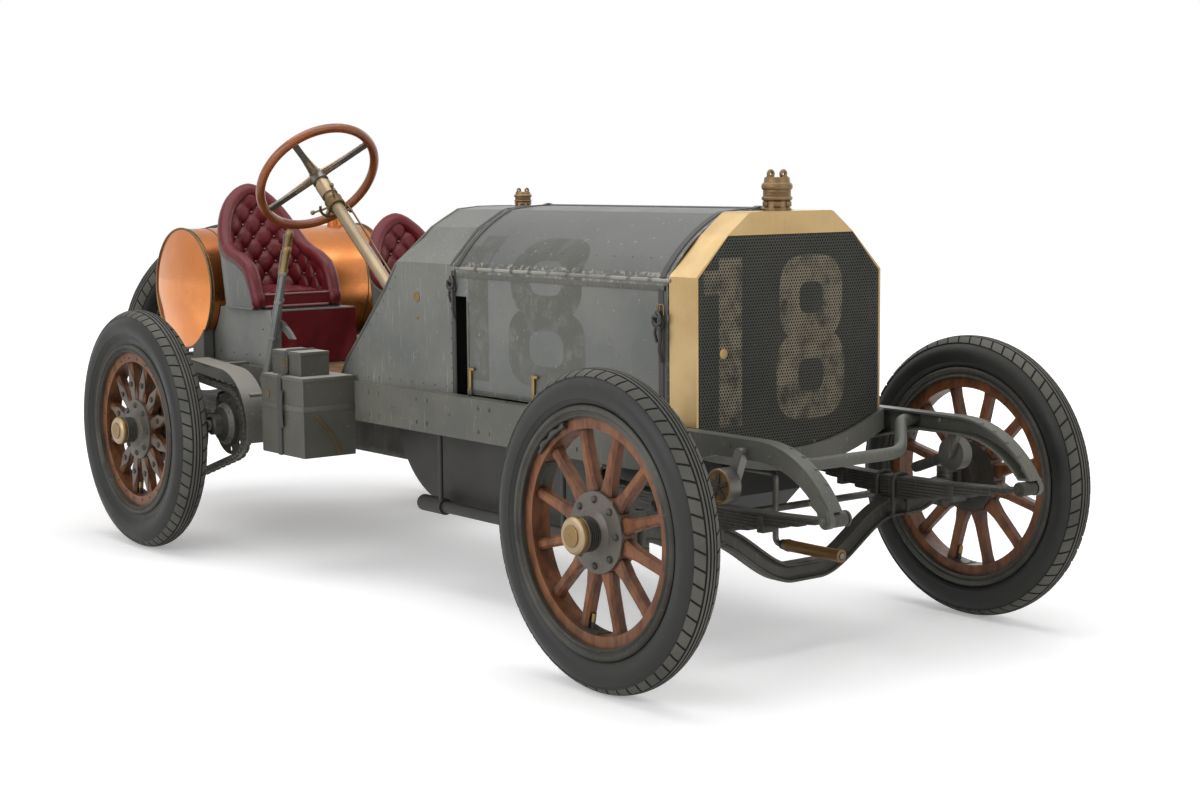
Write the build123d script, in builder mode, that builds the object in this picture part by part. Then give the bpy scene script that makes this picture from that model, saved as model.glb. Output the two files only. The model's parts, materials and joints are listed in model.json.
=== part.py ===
# Open racing car with two bucket seats, chain drive and wooden wheels, in millimetres.
# X points forward, Y to the left and Z up. The origin is on the ground under the middle.
import os
from math import atan2, cos, degrees, radians, sin, sqrt

from build123d import *

os.makedirs("parts", exist_ok=True)

# Stance
wheelbase = 2731
track = 1450
nose_reach = 527
tail_reach = 3637
front_x = (tail_reach - nose_reach) / 2
rear_x = front_x - wheelbase
running_gap = 0.1
seat_gap = 0.3

# Wheels: tyre radius, tyre section, rim edge, outer and inner felloe radius
front_wheel = dict(tyre=432, section=57, rim=334, felloe=305, inner=274)
rear_wheel = dict(tyre=439, section=62.5, rim=311.5, felloe=285, inner=249)
tyre_foot = 40
rim_half_width = 42
felloe_half_width = 30
spoke_count = 12
spoke_half_depth = 18
spoke_waist = 14
spoke_shoulder = 24
spoke_chamfer = 7
hub_flange_radius = 109
hub_flange_thickness = 8
hub_barrel_radius = 57
hub_nose_radius = 43
hub_inner_reach = 70
hub_cap_radius = 49
hub_cap_reach = 106
hub_cap_length = 26
hub_bolt_count = 8
hub_bolt_circle = 88
hub_bolt_radius = 7
spindle_radius = 20
spindle_reach = 76

# Frame rails
rail_top = 668
rail_depth = 133
rail_outer = 410
rail_flange = 45
rail_wall = 6
rail_tail = 3330
tail_depth = 66
kick_start = 2290
kick_end = 2400
kick_depth = 90
horn_depth = 54
horn_start = 90
horn_bend = 250
horn_tip_x = 520
horn_tip_z = 512
horn_under_x = 476
horn_under_z = 509
lash_hole_radius = 6.5
lash_hole_x = 150
lash_hole_z = 645

# Springs
spring_y = 370
spring_width = 50
leaf_thickness = 9
leaf_count = 7
leaf_step = 0.13
spring_sag = 18
eye_radius = 20
eye_pin_radius = 9
front_eye_x = nose_reach - eye_radius - 2
front_eye_z = 490
front_spring_half = 478
rear_spring_front = 300
rear_spring_back = 480
hanger_wall = 8
hanger_gap = 1

# Axles
axle_width = 46
front_beam_low = 207
front_beam_height = 55
kingpin_inset = 125
kingpin_y = track / 2 - kingpin_inset
kingpin_radius = 12
kingpin_boss_radius = 25
kingpin_boss_low = 375
kingpin_boss_height = 80
lug_thickness = 20
lug_gap = 1
knuckle_plate = 18
steering_arm_reach = 185
steering_arm_thickness = 14
tie_rod_radius = 11
tie_eye_radius = 18
tie_pin_radius = 8
rear_beam_height = 50
rear_beam_end = 560

# Radiator, hood and cowl
radiator_front = 45
radiator_depth = 113
body_half_width = 360
knee_z = 1080
shoulder_y = 246
shoulder_z = 1191
crown_y = 160
crown_z = 1255
cowl_crown = 1258
cowl_drop = 7
shell_wall = 8
grille_dip = 85
grille_recess = 4
hood_wall = 4
hood_gap = 5
hood_foot = rail_top + 5
hinge_z = 1068
hinge_radius = 5
hood_back = 1210
slot_width = 60
slot_top = 980
cowl_wall = 4
cowl_back = 1860
cowl_foot_y = 400
cowl_back_y = 370
dash_thickness = 20

# Floor, seats and tank
floor_thickness = 18
floor_half_width = 362
floor_back = 2950
tail_tube_x = 3300
pedestal_half_width = 360
tank_x = 3023
tank_z = 930
tank_radius = 230
tank_half_length = 420
tank_dome = 22
saddle_width = 40
neck_y = 290
neck_radius = 34
neck_height = 26
spare_lean = radians(17.8)
spare_z = 750

# Chain drive
chain_inset = 165
chain_y = track / 2 - chain_inset
chain_run = 371
counter_x = wheelbase - chain_run
counter_z = 480
rear_pitch_radius = 200
counter_pitch_radius = 125
chain_half_height = 12
chain_half_width = 15
sprocket_half_width = 5
tooth_gap = 0.6
drum_radius = 130
drum_wall = 8

# Steering column
column_x = 2292
column_y = 220
column_z = 1364
column_pitch = radians(39.1)
steering_wheel_radius = 240
steering_rim_radius = 16.5
column_radius = 22

# Leaf packs stand on the axle beams
pack_depth = leaf_count * leaf_thickness - spring_sag * (1 - leaf_step * (leaf_count - 1)) ** 2
front_pad_under = front_eye_z - spring_sag - pack_depth - seat_gap - front_beam_height
rear_axle_z = rear_wheel["tyre"]
rear_eye_z = rear_axle_z + rear_beam_height / 2 + seat_gap + pack_depth + spring_sag

both_sides = (("right", -1), ("left", 1))


def back(distance):
    """X of a point this far behind the front axle."""
    return front_x - distance


def side_plane(y):
    """Plane seen from the right: its own x is X, its own y is Z."""
    return Plane.XZ.offset(-y)


def cross_plane(distance):
    """Plane across the car, facing forward, this far behind the front axle."""
    return Plane.YZ.offset(back(distance))


def finish(name, part):
    """Labels a finished piece and writes it."""
    part.label = name
    export_step(part, f"parts/{name}.step")


# Frame rails with horns, spring hangers and eye lugs
rail_under = rail_top - rail_depth
horn_under = rail_top - horn_depth
hangers = (
    # distance behind the front axle, underside of the rail there, height of the eye
    (front_spring_half * 2 - front_eye_x, rail_under, front_eye_z),
    (wheelbase - rear_spring_front, rail_top - kick_depth, rear_eye_z),
    (wheelbase + rear_spring_back, rail_top - kick_depth + 10, rear_eye_z),
)
with BuildPart() as frame_rails:
    with BuildSketch(side_plane(rail_outer)):
        with BuildLine() as rail_line:
            top = Line((back(rail_tail), rail_top), (back(-horn_bend), rail_top))
            horn = TangentArc(top @ 1, (back(-horn_tip_x), horn_tip_z), tangent=(1, 0))
            tip = Line(horn @ 1, (back(-horn_under_x), horn_under_z))
            bend = TangentArc((back(-horn_bend), horn_under), tip @ 1, tangent=(1, 0))
            Polyline(
                bend @ 0,
                (back(-horn_start), horn_under),
                (back(horn_bend), rail_under),
                (back(kick_start), rail_under),
                (back(kick_end), rail_top - kick_depth),
                (back(rear_spring_back + wheelbase - 80), rail_top - kick_depth),
                (back(rail_tail), rail_top - tail_depth),
                top @ 0,
            )
        make_face()
    extrude(amount=rail_flange)
    with BuildSketch(side_plane(rail_outer - rail_wall)):
        with BuildLine():
            add(rail_line.line)
        make_face()
        offset(amount=-rail_wall, kind=Kind.INTERSECTION, mode=Mode.REPLACE)
    extrude(amount=rail_flange, mode=Mode.SUBTRACT)
    with BuildSketch(side_plane(rail_outer)):
        with Locations((back(-lash_hole_x), lash_hole_z)):
            Circle(lash_hole_radius)
    extrude(amount=rail_wall, mode=Mode.SUBTRACT)
    # Lug and pin that carry the front eye of the spring
    lug_inner = spring_y + spring_width / 2 + hanger_gap
    with BuildSketch(side_plane(rail_outer + 4)):
        with BuildLine():
            Polyline(
                (back(-horn_tip_x), horn_tip_z),
                (back(-horn_tip_x + 40), horn_tip_z + 40),
                (back(-horn_under_x + 30), horn_under_z + 20),
                (back(-horn_under_x), horn_under_z),
                (back(-front_eye_x + 15), front_eye_z - 14),
                (back(-front_eye_x - 14), front_eye_z - 14),
                (back(-horn_tip_x), horn_tip_z),
            )
        make_face()
        with Locations((back(-front_eye_x), front_eye_z)):
            Circle(eye_radius + 2)
    extrude(amount=rail_outer + 4 - lug_inner)
    with BuildSketch(side_plane(rail_outer + 14)):
        with Locations((back(-front_eye_x), front_eye_z)):
            Circle(eye_pin_radius)
    extrude(amount=rail_outer + 14 - (spring_y - spring_width / 2 - 6))
    # Hangers under the rail for the other spring eyes
    for distance, under, eye_z in hangers:
        for face_y in (spring_y - spring_width / 2 - hanger_gap, lug_inner + hanger_wall):
            with BuildSketch(side_plane(face_y)):
                with BuildLine():
                    Polyline(
                        (back(distance - 45), under + rail_wall / 2),
                        (back(distance - 18), eye_z - 10),
                        (back(distance + 18), eye_z - 10),
                        (back(distance + 45), under + rail_wall / 2),
                        (back(distance - 45), under + rail_wall / 2),
                    )
                make_face()
                with Locations((back(distance), eye_z)):
                    Circle(eye_radius)
            extrude(amount=hanger_wall)
        with Locations(Plane((back(distance), spring_y, under - 3))):
            Box(90, spring_width + 2 * hanger_gap + 2 * hanger_wall, 6 + rail_wall)
        with BuildSketch(side_plane(lug_inner + hanger_wall)):
            with Locations((back(distance), eye_z)):
                Circle(eye_pin_radius)
        extrude(amount=spring_width + 2 * hanger_gap + 2 * hanger_wall)
    mirror(about=Plane.XZ)
finish("frame_rails", frame_rails.part)

# Leaf springs, four packs with rolled eyes
with BuildPart() as springs:
    for middle, ahead, behind, eye_z in (
        # clamp behind the front axle, reach to the front eye and to the rear eye, eye height
        (front_spring_half - front_eye_x, front_spring_half, front_spring_half, front_eye_z),
        (wheelbase, rear_spring_front, rear_spring_back, rear_eye_z),
    ):
        spring_top = eye_z - spring_sag
        steps = []
        for i in range(leaf_count):
            share = 1 - leaf_step * i
            z = spring_top + spring_sag * share**2 - i * leaf_thickness
            steps.append((share, z))
            steps.append((share, z - leaf_thickness))
        with BuildSketch(side_plane(spring_y + spring_width / 2)):
            with BuildLine():
                crown = ThreePointArc(
                    (back(middle + behind), eye_z),
                    (back(middle), spring_top),
                    (back(middle - ahead), eye_z),
                )
                Polyline(
                    crown @ 1,
                    *[(back(middle - ahead * share), z) for share, z in steps[1:]],
                    *[(back(middle + behind * share), z) for share, z in reversed(steps[1:])],
                    crown @ 0,
                )
            make_face()
            with Locations((back(middle - ahead), eye_z), (back(middle + behind), eye_z)):
                Circle(eye_radius)
                Circle(eye_pin_radius + running_gap, mode=Mode.SUBTRACT)
        extrude(amount=spring_width)
    mirror(about=Plane.XZ)
finish("springs", springs.part)

# Front axle, a dropped beam of I section with an eye at each end and a pad under each spring
beam_line = (
    # distance from the middle, height of the middle line above the lowest one
    (0, 0),
    (120, 4),
    (310, front_pad_under - front_beam_low - 4),
    (450, front_pad_under - front_beam_low - 4),
    (kingpin_y - kingpin_boss_radius / 2, kingpin_boss_low + 12 - front_beam_low),
)
beam_steps = 22
beam_flange = 9
beam_web = 14
beam_recess_end = 545
pad_height = 20


def beam_height(y):
    """Height of the beam's middle line at this distance from the middle."""
    for (near, low), (far, high) in zip(beam_line, beam_line[1:]):
        if near <= abs(y) <= far:
            share = (abs(y) - near) / (far - near)
            return low + (high - low) * share * share * (3 - 2 * share)
    return beam_line[-1][1]


def beam_face(half_height, reach):
    """Face of the axle beam this high about its middle line, out to a reach on both sides."""
    middle_z = front_beam_low + front_beam_height / 2
    upper = []
    lower = []
    for step in range(-beam_steps, beam_steps + 1):
        y = reach * step / beam_steps
        slope = (beam_height(y + 1) - beam_height(y - 1)) / 2
        along = sqrt(1 + slope * slope)
        rise = half_height / along
        upper.append((y - slope * rise, middle_z + beam_height(y) + rise))
        lower.append((y + slope * rise, middle_z + beam_height(y) - rise))
    with BuildSketch(cross_plane(axle_width / 2)) as face:
        Polygon(*lower, *reversed(upper), align=None)
    return face.sketch


forward = (1, 0, 0)
with BuildPart() as beam_solid:
    extrude(beam_face(front_beam_height / 2, kingpin_y).face(), amount=axle_width, dir=forward)
with BuildPart() as beam_recess:
    recess_half_height = front_beam_height / 2 - beam_flange
    extrude(beam_face(recess_half_height, beam_recess_end).face(), amount=axle_width, dir=forward)
recess_start = (beam_web + axle_width) / 2
with BuildPart() as front_axle:
    add(beam_solid.part)
    for shift in (recess_start, -recess_start):
        add(beam_recess.part.moved(Location((shift, 0, 0))), mode=Mode.SUBTRACT)
    pad_top = front_pad_under + front_beam_height
    pad_middle = pad_top - pad_height / 2
    with Locations((front_x, spring_y, pad_middle), (front_x, -spring_y, pad_middle)):
        Box(axle_width + 8, spring_width + 30, pad_height)
    with Locations(
        (front_x, kingpin_y, kingpin_boss_low + kingpin_boss_height / 2),
        (front_x, -kingpin_y, kingpin_boss_low + kingpin_boss_height / 2),
    ):
        Cylinder(kingpin_boss_radius, kingpin_boss_height)
        Cylinder(kingpin_radius + running_gap, kingpin_boss_height, mode=Mode.SUBTRACT)
finish("front_axle", front_axle.part)

# Steering knuckles: two lugs on a kingpin, a plate, a spindle and an arm to the rear
lug_high = kingpin_boss_low + kingpin_boss_height + lug_gap
lug_low = kingpin_boss_low - lug_gap - lug_thickness
knuckle_outer = kingpin_y + kingpin_boss_radius + 5 + knuckle_plate
for side, sign in both_sides:
    with BuildPart() as knuckle:
        for z in (lug_low, lug_high):
            with BuildSketch(Plane.XY.offset(z)):
                with Locations((front_x, sign * kingpin_y)):
                    Circle(kingpin_boss_radius)
                with Locations((front_x, sign * (kingpin_y + knuckle_outer) / 2)):
                    Rectangle(2 * kingpin_boss_radius, knuckle_outer - kingpin_y)
            extrude(amount=lug_thickness)
        with BuildSketch(Plane.XY.offset(lug_low)):
            with Locations((front_x, sign * (knuckle_outer - knuckle_plate / 2))):
                Rectangle(2 * kingpin_boss_radius, knuckle_plate)
        extrude(amount=lug_high - lug_low)
        with BuildSketch(Plane.XY.offset(lug_low - 4)):
            with Locations((front_x, sign * kingpin_y)):
                Circle(kingpin_radius)
        extrude(amount=lug_high - lug_low + lug_thickness + 8)
        with BuildSketch(side_plane(sign * (knuckle_outer - knuckle_plate / 2))):
            with Locations((front_x, front_wheel["tyre"])):
                Circle(spindle_radius)
        extrude(amount=-sign * (track / 2 + spindle_reach - knuckle_outer + knuckle_plate / 2))
        with BuildSketch(Plane.XY.offset(lug_low)):
            with BuildLine():
                Polyline(
                    (back(-10), sign * (kingpin_y - 18)),
                    (back(-10), sign * (kingpin_y + 18)),
                    (back(steering_arm_reach), sign * (kingpin_y + 14)),
                    (back(steering_arm_reach), sign * (kingpin_y - 14)),
                    close=True,
                )
            make_face()
            with Locations((back(steering_arm_reach), sign * kingpin_y)):
                Circle(14)
        extrude(amount=steering_arm_thickness)
        with BuildSketch(Plane.XY.offset(lug_low)):
            with Locations((back(steering_arm_reach), sign * kingpin_y)):
                Circle(tie_pin_radius)
        extrude(amount=steering_arm_thickness + 2 + 2 * tie_rod_radius + 4)
    finish(f"knuckle_{side}", knuckle.part)

# Tie rod between the arms
tie_z = lug_low + steering_arm_thickness + 1 + tie_rod_radius
with BuildPart() as tie_rod:
    with BuildSketch(side_plane(kingpin_y)):
        with Locations((back(steering_arm_reach), tie_z)):
            Circle(tie_rod_radius)
    extrude(amount=2 * kingpin_y)
    with BuildSketch(Plane.XY.offset(tie_z - tie_rod_radius)):
        for y in (-kingpin_y, kingpin_y):
            with Locations((back(steering_arm_reach), y)):
                Circle(tie_eye_radius)
    extrude(amount=2 * tie_rod_radius)
    with BuildSketch(Plane.XY.offset(tie_z - tie_rod_radius)):
        for y in (-kingpin_y, kingpin_y):
            with Locations((back(steering_arm_reach), y)):
                Circle(tie_pin_radius + 3 * running_gap)
    extrude(amount=2 * tie_rod_radius, mode=Mode.SUBTRACT)
finish("tie_rod", tie_rod.part)

# Rear axle, a fixed beam under the springs with a spindle at each end
with BuildPart() as rear_axle:
    with BuildSketch(cross_plane(wheelbase)):
        with Locations((0, rear_axle_z)):
            Rectangle(2 * rear_beam_end, rear_beam_height)
    extrude(amount=axle_width / 2, both=True)
    with BuildSketch(side_plane(track / 2 + spindle_reach)):
        with Locations((rear_x, rear_axle_z)):
            Circle(spindle_radius)
    extrude(amount=track + 2 * spindle_reach)
finish("rear_axle", rear_axle.part)


def wheel_section(x, sign, z):
    """Plane through a wheel's axis: its own x is the radius, its own y points outward."""
    return Plane(origin=(x, sign * track / 2, z), x_dir=(1, 0, 0), z_dir=(0, 0, sign))


def wheel_face(x, sign, z, reach):
    """Plane square to a wheel's axis, this far outward of the wheel's middle."""
    return Plane(origin=(x, sign * (track / 2 + reach), z), x_dir=(1, 0, 0), z_dir=(0, sign, 0))


# Wheels: tyre, wooden felloe and spokes, rim and hub
wheels = (
    # name, distance behind the front axle, sizes, driven by a chain
    ("front", 0, front_wheel, False),
    ("rear", wheelbase, rear_wheel, True),
)
for place, distance, sizes, driven in wheels:
    for side, sign in both_sides:
        name = f"{place}_{side}"
        x = back(distance)
        z = sizes["tyre"]
        axis = Axis((x, sign * track / 2, z), (0, sign, 0))
        tube_radius = sizes["tyre"] - sizes["section"]
        with BuildPart() as tyre:
            with BuildSketch(wheel_section(x, sign, z)):
                with Locations((tube_radius, 0)):
                    Circle(sizes["section"])
                with Locations(((tube_radius + sizes["rim"]) / 2, 0)):
                    Rectangle(tube_radius - sizes["rim"], 2 * tyre_foot)
                with Locations(((sizes["rim"] + seat_gap) / 2, 0)):
                    Rectangle(sizes["rim"] + seat_gap, 4 * tyre_foot, mode=Mode.SUBTRACT)
            revolve(axis=axis)
        finish(f"tyre_{name}", tyre.part)

        with BuildPart() as spoke:
            with BuildSketch(wheel_face(x, sign, z, -spoke_half_depth)):
                with BuildLine():
                    half = (
                        (hub_barrel_radius + 1, spoke_waist - 2),
                        (hub_flange_radius, spoke_shoulder),
                        (hub_flange_radius + 45, spoke_waist + 2),
                        (sizes["inner"] - 25, spoke_waist),
                        (sizes["inner"] + 2, spoke_waist + 3),
                    )
                    Polyline(*half, *[(u, -v) for u, v in reversed(half)], close=True)
                make_face()
            extrude(amount=2 * spoke_half_depth)
            long_edges = spoke.edges().filter_by(
                lambda edge: abs(edge.tangent_at(0).Y) < 0.01 and abs(edge.tangent_at(0).X) > 0.5
            )
            chamfer(long_edges, spoke_chamfer)
        with BuildPart() as wood:
            with BuildSketch(wheel_section(x, sign, z)):
                with Locations(((sizes["inner"] + sizes["felloe"]) / 2, 0)):
                    Rectangle(sizes["felloe"] - sizes["inner"], 2 * felloe_half_width)
                with Locations(((hub_barrel_radius + hub_flange_radius) / 2, 0)):
                    Rectangle(hub_flange_radius - hub_barrel_radius, 2 * spoke_half_depth)
            revolve(axis=axis)
            for i in range(spoke_count):
                add(spoke.part.rotate(axis, (i + 0.5) * 360 / spoke_count))
        finish(f"wheel_{name}", wood.part)

        flange_face = spoke_half_depth + seat_gap
        flange_back = flange_face + hub_flange_thickness
        cap_base = hub_cap_reach - hub_cap_length
        rear_disc_radius = rear_pitch_radius - chain_half_height - tooth_gap
        inner_reach = track / 2 - chain_y + sprocket_half_width if driven else hub_inner_reach
        with BuildPart() as hub:
            with BuildSketch(wheel_section(x, sign, z)):
                with BuildLine():
                    Polyline(
                        (spindle_radius + running_gap, -hub_inner_reach),
                        (hub_barrel_radius - seat_gap, -hub_inner_reach),
                        (hub_barrel_radius - seat_gap, -flange_back),
                        (hub_flange_radius, -flange_back),
                        (hub_flange_radius, -flange_face),
                        (hub_barrel_radius - seat_gap, -flange_face),
                        (hub_barrel_radius - seat_gap, flange_face),
                        (hub_flange_radius, flange_face),
                        (hub_flange_radius, flange_back),
                        (hub_barrel_radius + 6, flange_back + 6),
                        (hub_nose_radius, flange_back + 18),
                        (hub_nose_radius, cap_base),
                        (hub_cap_radius, cap_base),
                        (hub_cap_radius, hub_cap_reach - 6),
                        (hub_cap_radius - 6, hub_cap_reach),
                        (0, hub_cap_reach),
                        (0, spindle_reach + 2),
                        (spindle_radius + running_gap, spindle_reach + 2),
                        close=True,
                    )
                make_face()
                with Locations(((sizes["rim"] + sizes["felloe"] + seat_gap) / 2, 0)):
                    Rectangle(sizes["rim"] - sizes["felloe"] - seat_gap, 2 * rim_half_width)
            revolve(axis=axis)
            with BuildSketch(wheel_face(x, sign, z, flange_back)):
                with PolarLocations(hub_bolt_circle, hub_bolt_count):
                    RegularPolygon(hub_bolt_radius, 6)
            extrude(amount=6)
            if driven:
                with BuildSketch(wheel_section(x, sign, z)):
                    with Locations((drum_radius - drum_wall / 2, -(flange_back + inner_reach) / 2)):
                        Rectangle(drum_wall, inner_reach - flange_back)
                    with Locations(((drum_radius + hub_flange_radius) / 2 - 4, -flange_back - 4)):
                        Rectangle(drum_radius - hub_flange_radius + 8, 8)
                    with Locations(
                        ((rear_disc_radius + drum_radius) / 2 - 2, chain_y - track / 2)
                    ):
                        Rectangle(rear_disc_radius - drum_radius + 4, 2 * sprocket_half_width)
                revolve(axis=axis)
        finish(f"hub_{name}", hub.part)

# Radiator: a brass shell, a dark core with its frame, and a trough that carries both
radiator_back = radiator_front + radiator_depth
corner_points = (
    (body_half_width, rail_top),
    (body_half_width, knee_z),
    (shoulder_y, shoulder_z),
    (crown_y, crown_z),
)


def mirrored(points):
    """The points followed by their mirror images, from the last back to the first."""
    return [*points, *[(-y, z) for y, z in reversed(points)]]


with BuildPart() as radiator_shell:
    with BuildSketch(cross_plane(radiator_front)):
        Polygon(*mirrored(corner_points), align=None)
    extrude(amount=-radiator_depth)
    with BuildSketch(cross_plane(radiator_front)):
        inner_half = body_half_width - shell_wall
        Polygon(
            *mirrored(
                (
                    (inner_half, rail_top - 1),
                    (inner_half, knee_z - 3),
                    (shoulder_y - 4, shoulder_z),
                )
            ),
            align=None,
        )
    extrude(amount=-radiator_depth, mode=Mode.SUBTRACT)
    front_rim = radiator_shell.edges().filter_by(GeomType.LINE).filter_by_position(
        Axis.Z, knee_z + 1, crown_z + 1
    )
    top_corners = front_rim.filter_by(Axis.X).group_by(Axis.Z)[-1]
    fillet(top_corners, 30)
finish("radiator_shell", radiator_shell.part)

with BuildPart() as radiator_core:
    core_half = body_half_width - shell_wall - seat_gap
    core_points = (
        (core_half, rail_top),
        (core_half, knee_z - 3 - seat_gap),
        (shoulder_y - 4 - seat_gap, shoulder_z - seat_gap),
    )
    with BuildSketch(cross_plane(radiator_front)):
        with BuildLine():
            sides = Polyline(*mirrored(core_points))
            ThreePointArc(sides @ 1, (0, rail_top - grille_dip), sides @ 0)
        make_face()
    extrude(amount=-radiator_depth)
    with BuildSketch(cross_plane(radiator_front)):
        with BuildLine():
            sides = Polyline(*mirrored(core_points))
            ThreePointArc(sides @ 1, (0, rail_top - grille_dip), sides @ 0)
        make_face()
        offset(amount=-12, mode=Mode.REPLACE)
    extrude(amount=-grille_recess, mode=Mode.SUBTRACT)
finish("radiator_core", radiator_core.part)

with BuildPart() as filler_caps:
    cowl_cap_x = 1328
    cowl_cap_drop = cowl_drop * (cowl_cap_x - hood_back) / (cowl_back - hood_back)
    for distance, base, height, width in (
        # distance behind the front axle, underside, height of the body, widest radius
        (107, crown_z + seat_gap, 62, 30),
        (cowl_cap_x, cowl_crown - cowl_cap_drop + seat_gap, 30, 20),
    ):
        with BuildSketch(Plane.XZ):
            with BuildLine():
                Polyline(
                    (back(distance), base),
                    (back(distance - width), base),
                    (back(distance - width), base + height * 0.15),
                    (back(distance - width * 0.8), base + height * 0.2),
                    (back(distance - width * 0.8), base + height * 0.5),
                    (back(distance - width), base + height * 0.55),
                    (back(distance - width), base + height * 0.75),
                    (back(distance - width * 0.7), base + height),
                    (back(distance), base + height),
                    close=True,
                )
            make_face()
        revolve(axis=Axis((back(distance), 0, 0), (0, 0, 1)))
        for y in (-width * 0.55, width * 0.55):
            with BuildSketch(cross_plane(distance - 5)):
                with Locations((y, base + height * 1.35)):
                    Circle(width * 0.35)
                with Locations((y, base + height * 1.1)):
                    Rectangle(width * 0.45, height * 0.6)
                with Locations((y, base + height * 1.35)):
                    Circle(width * 0.14, mode=Mode.SUBTRACT)
            extrude(amount=-10)
finish("filler_caps", filler_caps.part)

# Hood: a fixed top on two knee hinges, and a side panel below each
hood_edge = hinge_z + hinge_radius + 0.5
with BuildPart() as hood_top:
    with BuildSketch(cross_plane(radiator_back + seat_gap)):
        with BuildLine():
            right_knee = Line((body_half_width, hood_edge), (body_half_width - 8, hood_edge + 14))
            bevel = ThreePointArc(right_knee @ 1, (shoulder_y + 9, shoulder_z - 3), (150, 1249))
            crown_arc = ThreePointArc(bevel @ 1, (0, 1260), (-150, 1249))
            other = ThreePointArc(
                crown_arc @ 1, (-shoulder_y - 9, shoulder_z - 3), (-body_half_width + 8, hood_edge + 14)
            )
            Polyline(other @ 1, (-body_half_width, hood_edge), (body_half_width, hood_edge))
        make_face()
    hood_length = hood_back - radiator_back - 2 * seat_gap
    extrude(amount=-hood_length)
    with BuildSketch(cross_plane(radiator_back + seat_gap)):
        with BuildLine():
            lower = Line(
                (body_half_width - hood_wall, hood_edge - 1),
                (body_half_width - 8 - hood_wall, hood_edge + 13),
            )
            bevel = ThreePointArc(
                lower @ 1, (shoulder_y + 6, shoulder_z - 6), (150 - 1, 1249 - hood_wall)
            )
            crown_arc = ThreePointArc(bevel @ 1, (0, 1260 - hood_wall), (-149, 1249 - hood_wall))
            other = ThreePointArc(
                crown_arc @ 1,
                (-shoulder_y - 6, shoulder_z - 6),
                (-body_half_width + 8 + hood_wall, hood_edge + 13),
            )
            Polyline(other @ 1, (-body_half_width + hood_wall, hood_edge - 1), lower @ 0)
        make_face()
    extrude(amount=-hood_length, mode=Mode.SUBTRACT)
    with BuildSketch(cross_plane(radiator_back + seat_gap)):
        with Locations((0, 1260)):
            Circle(5)
    extrude(amount=-hood_length)
finish("hood_top", hood_top.part)

for side, sign in both_sides:
    panel_front = radiator_back + hood_gap
    panel_back = hood_back - hood_gap
    with BuildPart() as hood_side:
        with BuildSketch(side_plane(sign * (body_half_width - hood_wall / 2))):
            with BuildLine():
                Polyline(
                    (back(panel_front), hood_foot),
                    (back(panel_front), hinge_z),
                    (back(panel_back), hinge_z),
                    (back(panel_back), slot_top),
                    (back(panel_back - slot_width), slot_top),
                    (back(panel_back - slot_width), hood_foot),
                    close=True,
                )
            make_face()
        extrude(amount=hood_wall / 2, both=True)
        with BuildSketch(cross_plane(panel_front)):
            with Locations((sign * (body_half_width - hood_wall / 2), hinge_z)):
                Circle(hinge_radius)
        extrude(amount=panel_front - panel_back)
    finish(f"hood_side_{side}", hood_side.part)

# Cowl: a hollow scuttle cut to a sloping line behind
cowl_front_points = (
    (body_half_width, rail_top),
    (body_half_width, knee_z),
    (shoulder_y + 6, shoulder_z + 2),
    (150, cowl_crown - 8),
    (70, cowl_crown),
)
cowl_back_points = (
    (cowl_foot_y, rail_top),
    (cowl_back_y, knee_z),
    (shoulder_y + 12, shoulder_z),
    (155, cowl_crown - cowl_drop - 8),
    (72, cowl_crown - cowl_drop),
)
cowl_line = (
    # distance behind the front axle, height
    (cowl_back, rail_top - 10),
    (1820, 740),
    (1606, 987),
    (1549, 1065),
    (1493, 1161),
    (1488, 1300),
    (cowl_back + 40, 1300),
    (cowl_back + 40, rail_top - 10),
)
with BuildPart() as cowl:
    for wall, mode in ((0, Mode.ADD), (cowl_wall, Mode.SUBTRACT)):
        for distance, points in ((hood_back, cowl_front_points), (cowl_back, cowl_back_points)):
            with BuildSketch(cross_plane(distance)):
                inset = [(y - wall, z - wall) for y, z in points[1:]]
                foot = (points[0][0] - wall, rail_top - (1 if wall else 0))
                Polygon(*mirrored([foot, *inset]), align=None)
        loft(ruled=True, mode=mode)
    with BuildSketch(side_plane(0)):
        Polygon(*[(back(distance), z) for distance, z in cowl_line], align=None)
    extrude(amount=cowl_foot_y + 20, both=True, mode=Mode.SUBTRACT)
finish("cowl", cowl.part)

with BuildPart() as dash_board:
    with BuildSketch(cross_plane(hood_back + 4)):
        inset = [(y - cowl_wall - seat_gap, z - cowl_wall - 1) for y, z in cowl_front_points[1:]]
        foot = (body_half_width - cowl_wall - seat_gap, rail_top + seat_gap)
        Polygon(*mirrored([foot, *inset]), align=None)
    extrude(amount=-dash_thickness)
finish("dash_board", dash_board.part)

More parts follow.
